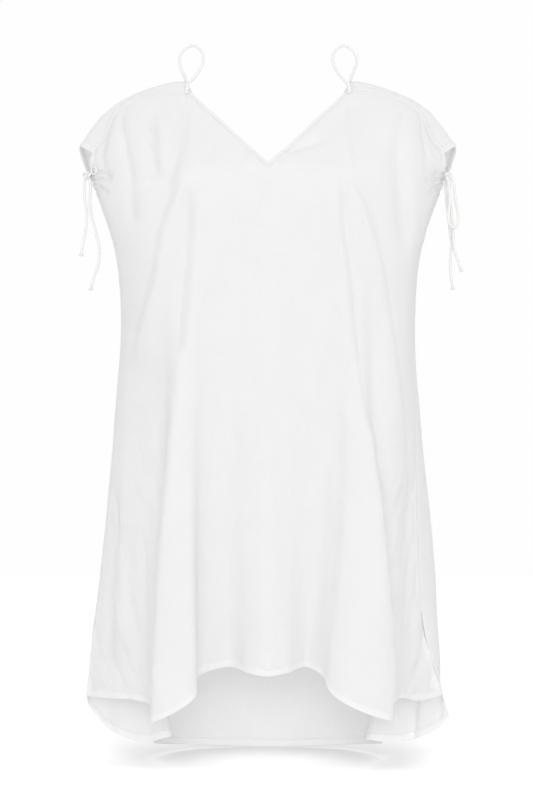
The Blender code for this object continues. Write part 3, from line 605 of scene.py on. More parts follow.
def tangents_of(points):
    """The tangent at each point of a smooth curve through them."""
    chords = np.maximum(np.linalg.norm(np.diff(points, axis=0), axis=1), 1e-9)
    slopes = np.diff(points, axis=0) / chords[:, None]
    tangents = np.empty_like(points)
    share = (chords[:-1] / (chords[:-1] + chords[1:]))[:, None]
    tangents[1:-1] = slopes[:-1] * (1 - share) + slopes[1:] * share
    tangents[0] = 1.5 * slopes[0] - 0.5 * tangents[1]
    tangents[-1] = 1.5 * slopes[-1] - 0.5 * tangents[-2]
    return tangents, chords, slopes


def hermite(start, end, leaving, arriving, shares):
    """Points on the curve between two points, whose tangents are scaled by the chord."""
    s = np.asarray(shares, float)[:, None]
    chord = np.linalg.norm(end - start)
    return (
        start * (2 * s**3 - 3 * s**2 + 1)
        + end * (3 * s**2 - 2 * s**3)
        + leaving * chord * (s**3 - 2 * s**2 + s)
        + arriving * chord * (s**3 - s**2)
    )


def smooth_route(route, step):
    """Points about a step apart on the smooth curve through a route's points."""
    points = np.array(route, float)
    tangents, chords, _ = tangents_of(points)
    out = [points[:1]]
    for i, chord in enumerate(chords):
        shares = np.arange(1, max(1, round(chord / step)) + 1) / max(1, round(chord / step))
        out.append(hermite(points[i], points[i + 1], tangents[i], tangents[i + 1], shares))
    return np.vstack(out)


def frames_along(path, closed=False):
    """Two directions across a path at each of its points, which don't twist along it."""
    ways = unit(np.gradient(path, axis=0))
    if closed:
        ways = unit(np.roll(path, -1, axis=0) - np.roll(path, 1, axis=0))
    start = np.cross(ways[0], (0.31, 0.94, 0.13))
    sides = [unit(start)]
    for way in ways[1:]:
        side = sides[-1] - way * np.dot(sides[-1], way)
        sides.append(unit(side))
    sides = np.array(sides)
    ups = np.cross(ways, sides)
    if closed:  # the last frame turns into the first one along the way
        back = sides[-1] - ways[0] * np.dot(sides[-1], ways[0])
        angle = math.atan2(np.dot(back, ups[0]), np.dot(back, sides[0]))
        turns = -angle * np.arange(len(path))[:, None] / len(path)
        sides, ups = (
            sides * np.cos(turns) + ups * np.sin(turns),
            ups * np.cos(turns) - sides * np.sin(turns),
        )
    return sides, ups


def pressed_flat(offsets, press):
    """A loop's offsets, pressed along a direction and spread beside it."""
    lost = np.linalg.norm(press)
    if lost <= 0.01:
        return offsets
    way = press / lost
    flat = offsets @ way
    offsets = offsets - way * (flat * lost)[:, None]
    return offsets + (offsets - way * (offsets @ way)[:, None]) * 0.3 * lost


def rouleau(name, path, radius, material, sides=16, closed=False, seed=0.0, press=None):
    """A turned tube of cloth: its seam winds slowly round it, and it is a little uneven.

    press has a direction for each point, as long as the share of thickness that is lost along it.
    """
    path = np.asarray(path, float)
    across, up = frames_along(path, closed)
    along = run_of(path)
    around = 2 * math.pi * np.arange(sides) / sides
    loops, maps = [], []
    for i, center in enumerate(path):
        seam = TUBE_SEAM_START + seed + TUBE_SEAM_WIND * along[i]
        off = (around - seam + math.pi) % (2 * math.pi) - math.pi
        swell = 1 + TUBE_SWELL * noise.noise(Vector((along[i] / 9, seed, 0)))
        pucker = TUBE_PUCKER * np.array([
            noise.noise(Vector((along[i] / 5.5, math.cos(a) * 0.9 + seed, math.sin(a) * 0.9)))
            for a in around
        ])
        size = radius * (swell + pucker - TUBE_DIP * ridge(off, 0, TUBE_SEAM_HALF))
        ring = np.cos(around)[:, None] * across[i] + np.sin(around)[:, None] * up[i]
        offsets = ring * size[:, None]
        if press is not None:
            offsets = pressed_flat(offsets, press[i])
        loops.append(center + offsets)
        maps.append(np.stack([around * radius, np.full(sides, along[i])], 1))
    if not closed:  # rounded ends
        for end, inner in ((0, 1), (-1, -2)):
            way = unit(path[end] - path[inner])
            cap = [
                path[end] + (loops[end] - path[end]) * size + way * radius * far
                for size, far in TUBE_END
            ]
            rest = [maps[end].copy() for _ in cap]
            if end == 0:
                loops, maps = [*cap[::-1], *loops], [*rest, *maps]
            else:
                loops, maps = [*loops, *cap], [*maps, *rest]
    return loops_object(name, loops, maps, material, 80, closed)


def join(name, *objects):
    """One object from several, with the first one's materials."""
    target = objects[0]
    with bpy.context.temp_override(
        active_object=target, selected_editable_objects=list(objects), selected_objects=list(objects)
    ):
        bpy.ops.object.join()
    target.name = target.data.name = name
    return target


def knotted(name, center, size, radius, material, along=(0, 0, 1), seed=0.0):
    """A pulled-tight overhand knot: the cord crosses itself round a full core."""
    axis = unit(np.array(along, float))
    side = unit(np.cross(axis, (0.0, 1.0, 0.0)))
    front = np.cross(side, axis)
    t = 2 * math.pi * np.arange(96) / 96
    local = np.stack([
        (np.sin(t) + 2 * np.sin(2 * t)) / 2.6,
        np.sin(3 * t) * 0.9,
        (np.cos(t) - 2 * np.cos(2 * t)) / 2.9,
    ], 1)
    reach = np.array(size) / 2 - radius
    local *= reach / np.abs(local).max(axis=0)
    path = np.array(center) + local @ np.array([side, front, axis])
    cord = rouleau(name, path, radius, material, sides=12, closed=True, seed=seed)
    core_path = [np.array(center) + axis * size[2] * k for k in (-0.3, -0.1, 0.1, 0.3)]
    core = rouleau(f"{name}_core", core_path, min(size[:2]) * 0.27, material, sides=12, seed=seed)
    return join(name, cord, core)


def make_cords(cord):
    """The free ends of the drawcords and the bow loop, each with what ends it."""
    for name, route in TIES.items():
        side = "r" if route[0][0] > 0 else "l"
        knot, start, end = (np.array(place, float) for place in (KNOTS[side], route[0], route[-1]))
        path = smooth_route([start + (knot - start) * 0.55, *route], CORD_STEP)
        tip_name = name.replace("tie_end", "tie_tip")
        way = unit(end - np.array(route[-2], float))
        path = np.vstack([path, path[-1] + way * 1.4])
        seed = len(name) + path[0, 0]
        free = rouleau(f"cloth_{name}", path, CORD_DIAMETER / 2, cord, seed=seed)
        center = end + way * (TIP_SIZE[2] / 2 + 0.3)
        tip = knotted(f"cloth_{tip_name}", center, TIP_SIZE, TIP_RADIUS, cord, way, path[0, 2])
        dress(free, name)
        dress(tip, tip_name)
    knot = np.array(KNOTS["r"], float)
    ends = [np.array(BOW_LOOP_R[k], float) for k in (0, -1)]
    inner = [end + (knot - end) * 0.5 for end in ends]
    path = smooth_route([inner[0], *BOW_LOOP_R, inner[1]], CORD_STEP)
    loop = rouleau("cloth_tie_loop_r", path, CORD_DIAMETER / 2, cord, seed=3.0)
    dress(loop, "tie_loop_r")


def make_knots(cord):
    """The two knots that close the casings, and the small ring left by the -X knot."""
    for side, place in KNOTS.items():
        name = f"cloth_tie_knot_{side}"
        knot = knotted(name, place, KNOT_SIZE, CORD_DIAMETER / 2, cord, seed=place[0])
        center = np.array(place)
        stubs = []
        for k, mouth in enumerate(CASING_MOUTHS):
            start = np.array((math.copysign(mouth[0], place[0]), *mouth[1:]))
            middle = start + (center - start) * 0.4 + np.array((0, 0, -0.8))
            stub = smooth_route([start, middle, center + (start - center) * 0.2], CORD_STEP)
            stubs.append(rouleau(f"{name}_{k}", stub, CORD_DIAMETER / 2 - 0.2, cord, sides=12, seed=k))
        dress(join(name, knot, *stubs), f"tie_knot_{side}")
    across = unit(RING_ACROSS)
    turns = 2 * math.pi * np.arange(40) / 40
    path = (
        np.array(RING_CENTER)
        + across * (np.cos(turns) * RING_HALVES[0])[:, None]
        + np.array((0, 0, 1.0)) * (np.sin(turns) * RING_HALVES[1])[:, None]
    )
    ring = rouleau("cloth_tie_ring_l", path, RING_THICKNESS / 2, cord, sides=12, closed=True)
    dress(ring, "tie_ring_l")


# The net of a panel


def guide_points(upper, lower, side):
    """A guide's table cells as points, on the side it belongs to."""
    points = []
    for cell, station in zip((*upper, *lower), STATIONS):
        z = cell[2] if len(cell) == 3 else LEVELS[station]
        points.append((side * cell[0], cell[1], z))
    return np.array(points, float)


def all_guides(upper, lower_left, lower_right):
    """Every guide of a panel from the -X seam to the +X seam, as points at the stations."""
    left = [guide_points(u, low, -1) for u, low in zip(upper, lower_left)]
    right = [guide_points(u, low, 1) for u, low in zip(upper, lower_right)]
    return left + right[::-1]


def shares_between(count, chord, near_start=None, near_end=None):
    """Where the net's lines cross from one table place to the next, as shares of the way."""
    start = [d / chord for d in near_start] if near_start else [0.0]
    end = [1 - d / chord for d in near_end[:0:-1]] if near_end else [1.0]
    middle = [start[-1] + (end[0] - start[-1]) * k / count for k in range(1, count)]
    return start + middle + (end if near_end else [])


def span_shares(i, chord, counts, near_start):
    """The shares in one span, where the lines are dense at the start and at the hem."""
    last = i == len(counts) - 1
    return shares_between(counts[i], chord, near_start if i == 0 else None, HEM_STEPS if last else None)


def row_shares(i, chord):
    """Where the rows cross a guide, from one station to the next."""
    return span_shares(i, chord, ROWS_BETWEEN, NECK_STEPS)


def column_shares(i, chord):
    """Where the columns cross a row, from one guide to the next."""
    return span_shares(i, chord, COLUMNS_BETWEEN, HEM_STEPS)


ROW_COUNTS = [len(row_shares(i, 100.0)) for i in range(len(ROWS_BETWEEN))]
STATION_ROWS = [sum(ROW_COUNTS[:i]) for i in range(len(STATIONS))]
COLUMN_COUNTS = [len(column_shares(i, 100.0)) for i in range(len(COLUMNS_BETWEEN))]
GUIDE_COLUMNS = [sum(COLUMN_COUNTS[:i]) for i in range(LAST_GUIDE + 1)]
ROW_STATIONS = [i + k / n for i, n in enumerate(ROW_COUNTS) for k in range(n)]
ROW_STATIONS.append(float(len(ROW_COUNTS)))
NECK_COLUMN, LAST_COLUMN, LAST_ROW = GUIDE_COLUMNS[NECK_GUIDE], GUIDE_COLUMNS[-1], STATION_ROWS[-1]
UNDERARM, SLIT_TOP = STATION_ROWS[BUST_AT], STATION_ROWS[SLIT_AT]


def run_down(points, is_seam, crisp):
    """The points of one guide at every row. crisp is how sharply it turns at the bust."""
    tangents, chords, slopes = tangents_of(points)
    out = []
    for i, chord in enumerate(chords):
        leaving, arriving = tangents[i], tangents[i + 1]
        if is_seam and i == BUST_AT:
            leaving = slopes[i]
        if is_seam and i + 1 == SLIT_AT:
            arriving = slopes[i]
        if i == BUST_AT:
            leaving = leaving + (slopes[i] - leaving) * crisp
        if i + 1 == BUST_AT:
            arriving = arriving + (slopes[i] - arriving) * crisp
        shares = row_shares(i, chord)
        out.append(hermite(points[i], points[i + 1], leaving, arriving, shares))
    return np.vstack([*out, points[-1:]])


def seam_weight(station):
    """How far a row runs on smoothly into the other panel at a side seam."""
    rise = min(1.0, max(0.0, 2 * (station - BUST_AT) + 1))
    fall = min(1.0, max(0.0, 2 * (SLIT_AT - station) + 1))
    return rise * fall


def run_across(points, station, before, after):
    """The points of one row at every column, through its guides."""
    tangents, chords, slopes = tangents_of(points)
    leaving, arriving = tangents.copy(), tangents.copy()
    sharp = max(0.0, 1 - station / 2)
    for guide in CORNER_GUIDES:
        leaving[guide] += (slopes[guide] - tangents[guide]) * sharp
        arriving[guide] += (slopes[guide - 1] - tangents[guide]) * sharp
    wide = tangents_of(np.vstack([before, points, after]))[0][1:-1]
    leaving[0] += (wide[0] - leaving[0]) * seam_weight(station)
    arriving[-1] += (wide[-1] - arriving[-1]) * seam_weight(station)
    out = []
    for i, chord in enumerate(chords):
        shares = column_shares(i, chord)
        out.append(hermite(points[i], points[i + 1], leaving[i], arriving[i + 1], shares))
    return np.vstack([*out, points[-1:]])


def panel_net(guides, other_guides, crisp):
    """The net of a panel: an array of columns, rows and x, y, z, on the cloth's middle surface."""
    down = [run_down(points, i in (0, LAST_GUIDE), crisp[i]) for i, points in enumerate(guides)]
    beyond = [run_down(other_guides[i], False, 0.0) for i in (1, -2)]
    rows = []
    for j, station in enumerate(ROW_STATIONS):
        points = np.array([line[j] for line in down])
        rows.append(run_across(points, station, beyond[0][j], beyond[1][j]))
    return np.array(rows).transpose(1, 0, 2)


def net_normals(net, outward):
    """The normal at each point of the net: the mean of those of the cells around it."""
    cells = outward * unit(np.cross(net[1:, 1:] - net[:-1, :-1], net[:-1, 1:] - net[1:, :-1]))
    total = np.zeros_like(net)
    for i, j in ((0, 0), (0, 1), (1, 0), (1, 1)):
        total[i : i + cells.shape[0], j : j + cells.shape[1]] += cells
    return unit(total)


SHOULDERS = (slice(0, NECK_COLUMN + 1), slice(LAST_COLUMN - NECK_COLUMN, LAST_COLUMN + 1))


def share_seam_normals(one, other):
    """Both panels take the same normal on a seam, so their edges meet there."""
    places = [(i, 0) for columns in SHOULDERS for i in range(columns.start, columns.stop)]
    places += [(i, j) for i in (0, LAST_COLUMN) for j in range(UNDERARM, SLIT_TOP + 1)]
    for i, j in places:
        one[i, j] = other[i, j] = unit(one[i, j] + other[i, j])


class Panel:
    """A panel's net with its normals, and the distance of each point from each edge."""

    def __init__(self, guides, other_guides, outward, crisp):
        self.outward = outward
        self.net = panel_net(guides, other_guides, crisp)
        self.normals = net_normals(self.net, outward)
        across = np.linalg.norm(np.diff(self.net, axis=0), axis=2)
        down = np.linalg.norm(np.diff(self.net, axis=1), axis=2)
        zero = np.zeros((1, self.net.shape[1]))
        self.from_left = np.vstack([zero, np.cumsum(across, axis=0)])
        self.from_right = self.from_left[-1] - self.from_left
        self.from_top = np.hstack([np.zeros((self.net.shape[0], 1)), np.cumsum(down, axis=1)])
        self.from_hem = self.from_top[:, -1:] - self.from_top
        self.from_side = np.minimum(self.from_left, self.from_right)
        centre = self.net.shape[0] // 2
        self.u = self.from_left - self.from_left[centre]
        self.v = -self.from_hem
        rows = np.arange(self.net.shape[1])
        self.below_slit = np.maximum(0, self.from_top - self.from_top[:, SLIT_TOP : SLIT_TOP + 1])
        self.is_slit = rows >= SLIT_TOP
        self.area = float((across[:, :-1] * down[:-1]).sum()) * MM * MM
        self.flat = (float(self.from_left[-1].max()) * MM, float(self.from_top[:, -1].max()) * MM)

    def move(self, heights):
        """Moves the net along its normals, and finds them again."""
        self.net = self.net + self.normals * heights[..., None]
        self.normals = net_normals(self.net, self.outward)

    def hem_share(self):
        """1 on a turned hem, at the bottom and along the slits, and 0 elsewhere."""
        bottom = 1 - fade(self.from_hem, *HEM_ENDS)
        sides = 1 - fade(self.from_side, *HEM_ENDS)
        return np.maximum(bottom, sides * self.is_slit * fade(self.below_slit, 0, HEM_WIDTH / 2))

    def hem_groove(self):
        """1 on the stitch line of a turned hem."""
        bottom = ridge(self.from_hem, HEM_STITCH, GROOVE_WIDTH)
        bottom = bottom * np.where(self.is_slit & (self.from_side < HEM_STITCH - 1), 0.0, 1.0)
        sides = ridge(self.from_side, HEM_STITCH, GROOVE_WIDTH) * self.is_slit
        inside = (self.from_hem > HEM_STITCH) & (self.from_side > HEM_STITCH)
        return np.maximum(bottom, sides * np.where(inside | (self.from_hem > HEM_STITCH - 1), 1.0, 0.0))


# Relief of the cloth


def along_and_beside(x, z, route):
    """How far along a route each place is, how far beside it, and the route's length."""
    route = smooth_route([(a, 0.0, b) for a, b in route], 12)[:, (0, 2)]
    best = np.full(x.shape, 1e9)
    along, beside = np.zeros(x.shape), np.zeros(x.shape)
    done = 0.0
    for one, two in zip(route, route[1:]):
        way = two - one
        length = np.linalg.norm(way)
        share = np.clip(((x - one[0]) * way[0] + (z - one[1]) * way[1]) / length**2, 0, 1)
        dx, dz = x - one[0] - way[0] * share, z - one[1] - way[1] * share
        gap = np.hypot(dx, dz)
        side = np.sign(way[0] * dz - way[1] * dx)  # 1 to the left of the way
        nearer = gap < best
        best = np.where(nearer, gap, best)
        along = np.where(nearer, done + length * share, along)
        beside = np.where(nearer, side * gap, beside)
        done += length
    return along, beside, done


def crease_heights(panel, creases):
    """The sum of the creases at each point of a panel's net."""
    x, z = panel.net[..., 0], panel.net[..., 2]
    total = np.zeros(x.shape)
    for crease in creases:
        along, beside, length = along_and_beside(x, z, crease.route)
        ends = np.abs(np.subtract(crease.route[-1], crease.route[0]))
        before = beside < 0 if ends[1] > ends[0] else beside > 0
        width = np.where(before, crease.before, crease.after)
        profile = np.exp(-((np.abs(beside) / width) ** crease.power))
        ends = fade(along, 0, crease.fade) * (1 - fade(along, length - crease.fade, length))
        total += crease.height * profile * ends
    return total


def wrinkle_heights(panel, scales, seed):
    """Slight unevenness that runs down the cloth: amplitude, width and length of each kind."""
    total = np.zeros(panel.u.shape)
    for k, (height, width, length) in enumerate(scales):
        values = [
            noise.noise(Vector((a / width, b / length, seed + 7.3 * k)))
            for a, b in zip(panel.u.ravel(), panel.v.ravel())
        ]
        total += height * np.array(values).reshape(panel.u.shape)
    return total


def noise_row(values):
    """A smooth random number from -1 to 1 for each value."""
    return np.array([noise.noise(Vector((v, 0.5, 0.5))) for v in values.ravel()]).reshape(values.shape)


def seam_heights(panel, shoulder):
    """Seams draw the cloth in and pucker it."""
    total = np.zeros(panel.u.shape)
    for columns in SHOULDERS:
        for height, center, width in shoulder:
            total[columns] += height * ridge(panel.from_top[columns], center, width)
    rows = np.arange(panel.u.shape[1])
    joined = (rows > UNDERARM) & (rows <= SLIT_TOP)
    sides = ridge(panel.from_side, 0, SIDE_SEAM_WIDTH) * joined
    pucker = ridge(panel.from_side, 0, PUCKER_REACH) * joined
    ripple = np.sin(panel.v / PUCKER_LENGTH) * noise_row(panel.v / PUCKER_CHANGE)
    pucker = PUCKER_HEIGHT * pucker * ripple * fade(panel.from_side, 0, 4)
    return total - SIDE_SEAM_DIP * sides + pucker


def hem_heights(panel):
    """The turned hem pulls a little from stitch to stitch."""
    ripple = noise_row(panel.u / HEM_PULL_LENGTH + 0.25 * panel.from_hem)
    beyond = fade(panel.from_hem, HEM_WIDTH, HEM_WIDTH + HEM_PULL_REACH)
    return HEM_PULL * ripple * fade(panel.from_hem, 1.5, 8) * (1 - beyond)


def low_sides(panel):
    """1 on the lower part of both sides, where the cloth is crumpled, and 0 elsewhere."""
    x, z = np.abs(panel.net[..., 0]), -panel.net[..., 2]
    return fade(x, *CRUMPLED_OUT) * fade(z, *CRUMPLED_DOWN)


def gather_heights(panel):
    """Gathers where the cord pulls the sleeve's edge together, next to the knots."""
    total = np.zeros(panel.u.shape)
    below = np.arange(panel.u.shape[1])[None, :] > UNDERARM
    for edge, distance in ((0, panel.from_left), (LAST_COLUMN, panel.from_right)):
        beyond = np.abs(panel.from_top[edge] - panel.from_top[edge, UNDERARM])[None, :]
        uneven = 1 + 0.5 * noise_row(beyond / 9 + GATHER_PHASE + edge)
        pitch = GATHER_PITCH + beyond * GATHER_SPREAD
        wave = np.cos(2 * math.pi * beyond / pitch + GATHER_PHASE) * uneven
        inwards = np.exp(-((distance / (GATHER_DEPTH + GATHER_UNEVEN * uneven)) ** 1.5))
        reach = inwards * np.exp(-beyond / np.where(below, GATHER_DOWN, GATHER_UP))
        total += GATHER_HEIGHT * wave * reach * (distance < GATHER_END)
    return total


def off_seams(panel):
    """0 on the seams, where both panels have to meet, and 1 away from them."""
    rows = np.arange(panel.u.shape[1])
    joined = (rows >= UNDERARM - 6) & (rows <= SLIT_TOP)
    sides = np.where(joined, fade(panel.from_side, 1.5, 14), 1.0)
    tops = np.ones(panel.u.shape)
    for columns in SHOULDERS:
        tops[columns] = fade(panel.from_top[columns], 1.5, 12)
    return sides * tops


def relief(panel, creases, seed, shoulder, crumpled=False):
    """All that is laid on a panel. Its unevenness lies low beside the neck."""
    clear = off_seams(panel)
    calm = clear * (0.25 + 0.75 * fade(panel.from_top, 4, 40))
    total = crease_heights(panel, creases) * clear + wrinkle_heights(panel, UNEVEN, seed) * calm
    total += gather_heights(panel)
    if crumpled:
        total += wrinkle_heights(panel, CRUMPLES, CRUMPLE_SEED) * low_sides(panel) * clear
    return total + seam_heights(panel, shoulder) + hem_heights(panel)


# Pieces of the garment


def shell(name, panel, materials):
    """A thin closed shell on a panel's net, thicker at the turned hems and rounded at free edges."""
    net, normals = panel.net, panel.normals
    columns, rows = net.shape[:2]
    hem, groove = panel.hem_share(), panel.hem_groove()
    outside = LAYER / 2 + HEM_OUTWARD * hem - GROOVE_OUTWARD * groove
    inside = LAYER / 2 + HEM_INWARD * hem - GROOVE_INWARD * groove
    outer = net + normals * outside[..., None]
    inner = net - normals * inside[..., None]
    border = [(i, 0) for i in range(columns)] + [(columns - 1, j) for j in range(1, rows)]
    border += [(i, rows - 1) for i in range(columns - 2, -1, -1)]
    border += [(0, j) for j in range(rows - 2, 0, -1)]
    middle = []
    for i, j in border:
        within = (min(max(i, 1), columns - 2), min(max(j, 1), rows - 2))
        out = unit(net[i, j] - net[within])
        half = (outside[i, j] + inside[i, j]) / 2
        center = net[i, j] + normals[i, j] * (outside[i, j] - inside[i, j]) / 2
        middle.append(center + out * (half * 0.8 if hem[i, j] > 0.5 else 0.01))
    points = np.vstack([outer.reshape(-1, 3), inner.reshape(-1, 3), np.array(middle)])
    flat = np.stack([panel.u, panel.v], -1)
    maps = np.vstack([flat.reshape(-1, 2), flat.reshape(-1, 2), [flat[place] for place in border]])
    numbers = np.arange(columns * rows).reshape(columns, rows)
    first = grid_faces(numbers)
    second = first + columns * rows
    top = np.array([numbers[place] for place in border])
    lines = np.stack([top, 2 * columns * rows + np.arange(len(border)), top + columns * rows])
    after = np.roll(lines, -1, axis=1)
    upper_rim = np.stack([lines[0], after[0], after[1], lines[1]], 1)
    lower_rim = np.stack([lines[1], after[1], after[2], lines[2]], 1)
    rim = np.stack([upper_rim, lower_rim], 1).reshape(-1, 4)
    is_hem = (hem.reshape(-1)[first].mean(axis=1) > 0.5).astype(int)
    rim_hem = np.repeat([int(hem[place] > 0.5) for place in border], 2)
    faces = np.vstack([first, second, rim]).tolist()
    return mesh_object(name, points, faces, maps, materials, 60, np.concatenate([is_hem, is_hem, rim_hem]))


def fold_over(edge, out, up, size):
    """Points round an edge, from above it to below it."""
    return [edge + out * size * math.cos(a) + up * size * math.sin(a) for a in FOLD_ANGLES]


def folded_strip(name, points, normals, material, bulge=BINDING_BULGE):
    """A strip folded over an edge. The points run along it, and from its inner line to the edge."""
    clear = LAYER / 2 + STRIP_CLEARANCE
    over = clear + STRIP_LAYER
    outs = unit(points[:, -1] - points[:, -3])
    edge_ways = unit(np.gradient(points[:, -1], axis=0))
    slant = np.linalg.norm(np.cross(outs, edge_ways), axis=1)
    outs = outs / np.maximum(slant, 0.5)[:, None]
    widths = np.linalg.norm(points - points[:, -1:], axis=2)
    pad = bulge * np.sin(np.clip(widths / np.maximum(widths[:, :1], 1e-6), 0, 1) * math.pi)[..., None]
    loops, maps = [], []
    for p, n, out, swell, at in zip(points, normals, outs, pad, run_of(points[:, 0])):
        loop = [
            *(p + n * (over + swell)), *fold_over(p[-1], out, n[-1], over),
            *(p - n * (over + swell))[::-1],
            *(p - n * clear), *fold_over(p[-1], out, n[-1], clear)[::-1], *(p + n * clear)[::-1],
        ]
        loops.append(loop)
        maps.append(np.stack([np.full(len(loop), at), run_of(loop)], 1))
    return loops_object(name, loops, maps, material, 60)


def stitches(name, lines, material, length=STITCH_LENGTH, gap=STITCH_GAP):
    """Rows of short stitches. Each line has its points and the normals of the cloth there."""
    turns = [2 * math.pi * k / STITCH_SIDES for k in range(STITCH_SIDES)]
    beside = [(k, (k + 1) % STITCH_SIDES) for k in range(STITCH_SIDES)]
    tips = STITCH_SIDES * len(STITCH_RINGS)
    points, faces, maps = [], [], []
    for line, lifts in lines:
        run = run_of(line)
        spots = np.arange(length / 2 + gap, run[-1] - length / 2, length + gap)
        centers, ups, ahead = (
            np.stack([np.interp(places, run, values[:, k]) for k in range(3)], 1)
            for places, values in ((spots, line), (spots, lifts), (spots + 0.5, line))
        )
        for center, up, front, at in zip(centers, unit(ups), unit(ahead - centers), spots):
            side = np.cross(front, up)
            start = len(points)
            for share, size, lift in STITCH_RINGS:
                for turn in turns:
                    ring = side * math.cos(turn) + up * math.sin(turn)
                    offset = (ring * size + up * lift) * THREAD_RADIUS
                    points.append(center + front * share * length + offset)
                    maps.append((at + share * length, turn * THREAD_RADIUS))
            for share, lift in STITCH_TIPS:
                points.append(center + front * share * length + up * lift * THREAD_RADIUS)
                maps.append((at + share * length, 0.0))
            for low in range(start, start + tips - STITCH_SIDES, STITCH_SIDES):
                high = low + STITCH_SIDES
                faces += [(low + k, low + n, high + n, high + k) for k, n in beside]
            last = start + tips - STITCH_SIDES
            for k, n in beside:
                faces += [(start + tips, start + n, start + k), (start + tips + 1, last + k, last + n)]
    obj = mesh_object(name, points, faces, maps, [material], 80)
    return obj


def hem_lines(panel):
    """The stitch lines of the hem and of the slits, on the outside and on the inside."""
    row = LAST_ROW - HEM_STEPS.index(HEM_STITCH)
    column = HEM_STEPS.index(HEM_STITCH)
    routes = [[(i, row) for i in range(column, LAST_COLUMN - column + 1)]]
    for i in (column, LAST_COLUMN - column):
        routes.append([(i, j) for j in range(SLIT_TOP + 2, row + 1)])
    lines = []
    for route in routes:
        points = np.array([panel.net[place] for place in route])
        normals = np.array([panel.normals[place] for place in route])
        lines.append((points + normals * (LAYER / 2 + HEM_OUTWARD), normals))
        lines.append((points - normals * (LAYER / 2 + HEM_INWARD), -normals))
    return lines


def strip_lines(points, normals, at):
    """The stitch lines along a folded strip, on both of its faces."""
    lift = LAYER / 2 + STRIP_CLEARANCE + STRIP_LAYER + THREAD_LIFT
    return [(points[:, at] + normals[:, at] * lift, normals[:, at]),
            (points[:, at] - normals[:, at] * lift, -normals[:, at])]


def neck_binding(name, node, panel, material, thread):
    """The strip over a neck edge, from beside one strap loop to beside the other."""
    last = len(NECK_STEPS) - 1
    span = slice(NECK_COLUMN + 2, LAST_COLUMN - NECK_COLUMN - 1)
    points, normals = panel.net[span, last::-1], panel.normals[span, last::-1]
    strip = dress(folded_strip(name, points, normals, material), node)
    at = last - NECK_STEPS.index(BINDING_STITCH)
    return strip, stitches(f"{name}_stitches", strip_lines(points, normals, at), thread)


def sleeve_casing(name, node, column, front, back, material, thread):
    """The strip over a sleeve opening, open at the underarm, where the cord comes out."""
    last = HEM_STEPS.index(CASING_WIDTH)
    columns = list(range(last, -1, -1) if column == 0 else range(LAST_COLUMN - last, LAST_COLUMN + 1))
    lines = []
    for ahead, behind in ((front.net, back.net), (front.normals, back.normals)):
        line = [ahead[columns, j] for j in range(UNDERARM - 3, 0, -1)]
        lines.append(np.array(line + [behind[columns, j] for j in range(UNDERARM - 2)]))
    strip = dress(folded_strip(name, *lines, material, bulge=CASING_BULGE), node)
    at = last - HEM_STEPS.index(CASING_STITCH)
    return strip, stitches(f"{name}_stitches", strip_lines(*lines, at), thread)


def strap_foot(panel, column, row):
    """Where a strap loop lies on a panel, from its lower end up to the shoulder, and the way out."""
    top = panel.net[column, row]
    down = unit(panel.net[column, row + 4] - top)
    out = unit(panel.normals[column, row] + panel.normals[column, row + 4])
    out = unit(out - down * np.dot(out, down))
    lift = out * (STRAP_CLEARANCE + STRAP_DIAMETER / 2 * STRAP_PRESSED)
    return [top + down * far + lift for far in STRAP_FOOT], out, down


def strap_loop(name, node, side, front, back, cord, thread):
    """A teardrop loop of rouleau, with a flat foot tacked down on each face of the neck point."""
    column = NECK_COLUMN if side < 0 else LAST_COLUMN - NECK_COLUMN
    feet = [strap_foot(front, column, 0), strap_foot(back, column, STATION_ROWS[1])]
    body = [np.array((side * x, y, z), float) for x, y, z in STRAP_ROUTE]
    path = smooth_route([*feet[0][0], *body, *feet[1][0][::-1]], 1.5)
    along = run_of(path)
    press = np.zeros_like(path)
    tacks = []
    for (points, out, down), distance in zip(feet, (along, along[-1] - along)):
        press += out * ((1 - STRAP_PRESSED) * (1 - fade(distance, *STRAP_RISES)))[:, None]
        across = np.cross(out, down)
        lift = out * STRAP_DIAMETER / 2 * (STRAP_PRESSED + 0.04)
        for far in TACK_ROWS:
            center = points[0] + (points[1] - points[0]) * far + lift
            line = center + across * np.linspace(-TACK_HALF, TACK_HALF, 9)[:, None]
            tacks.append((line, np.tile(out, (len(line), 1))))
    loop = rouleau(name, path, STRAP_DIAMETER / 2, cord, seed=side * 2.0, press=press)
    dress(loop, node)
    stitches(f"{name}_tacks", tacks, thread, TACK_LENGTH, TACK_GAP)


# Stage


def add_floor():
    """A floor that spreads out just under the hem."""
    mesh = bpy.data.meshes.new("floor")
    corners = ((-1, -1), (1, -1), (1, 1), (-1, 1))
    mesh.from_pydata([(x * FLOOR_HALF, y * FLOOR_HALF, FLOOR_Z) for x, y in corners], [], [(0, 1, 2, 3)])
    floor = bpy.data.objects.new("floor", mesh)
    bpy.context.scene.collection.objects.link(floor)
    mesh.materials.append(floor_material())
    return floor


def add_surroundings():
    """White surroundings, which look brighter than the light that they give."""
    world = bpy.data.worlds.new("studio")
    world.use_nodes = True
    nodes, links = world.node_tree.nodes, world.node_tree.links
    kinds = ("LightPath", "MixShader", "Background")
    paths, mix, seen = (nodes.new(f"ShaderNode{kind}") for kind in kinds)
    lit = nodes["Background"]
    for background, strength in ((lit, SKY_LIGHT), (seen, SKY_SEEN)):
        background.inputs["Color"].default_value = (1.0, 1.0, 1.0, 1.0)
        background.inputs["Strength"].default_value = strength
    links.new(paths.outputs["Is Camera Ray"], mix.inputs[0])
    links.new(lit.outputs[0], mix.inputs[1])
    links.new(seen.outputs[0], mix.inputs[2])
    links.new(mix.outputs[0], nodes["World Output"].inputs["Surface"])
    scene = bpy.context.scene
    scene.world = world
    scene.view_settings.view_transform = "Standard"
    scene.cycles.diffuse_bounces = BOUNCES


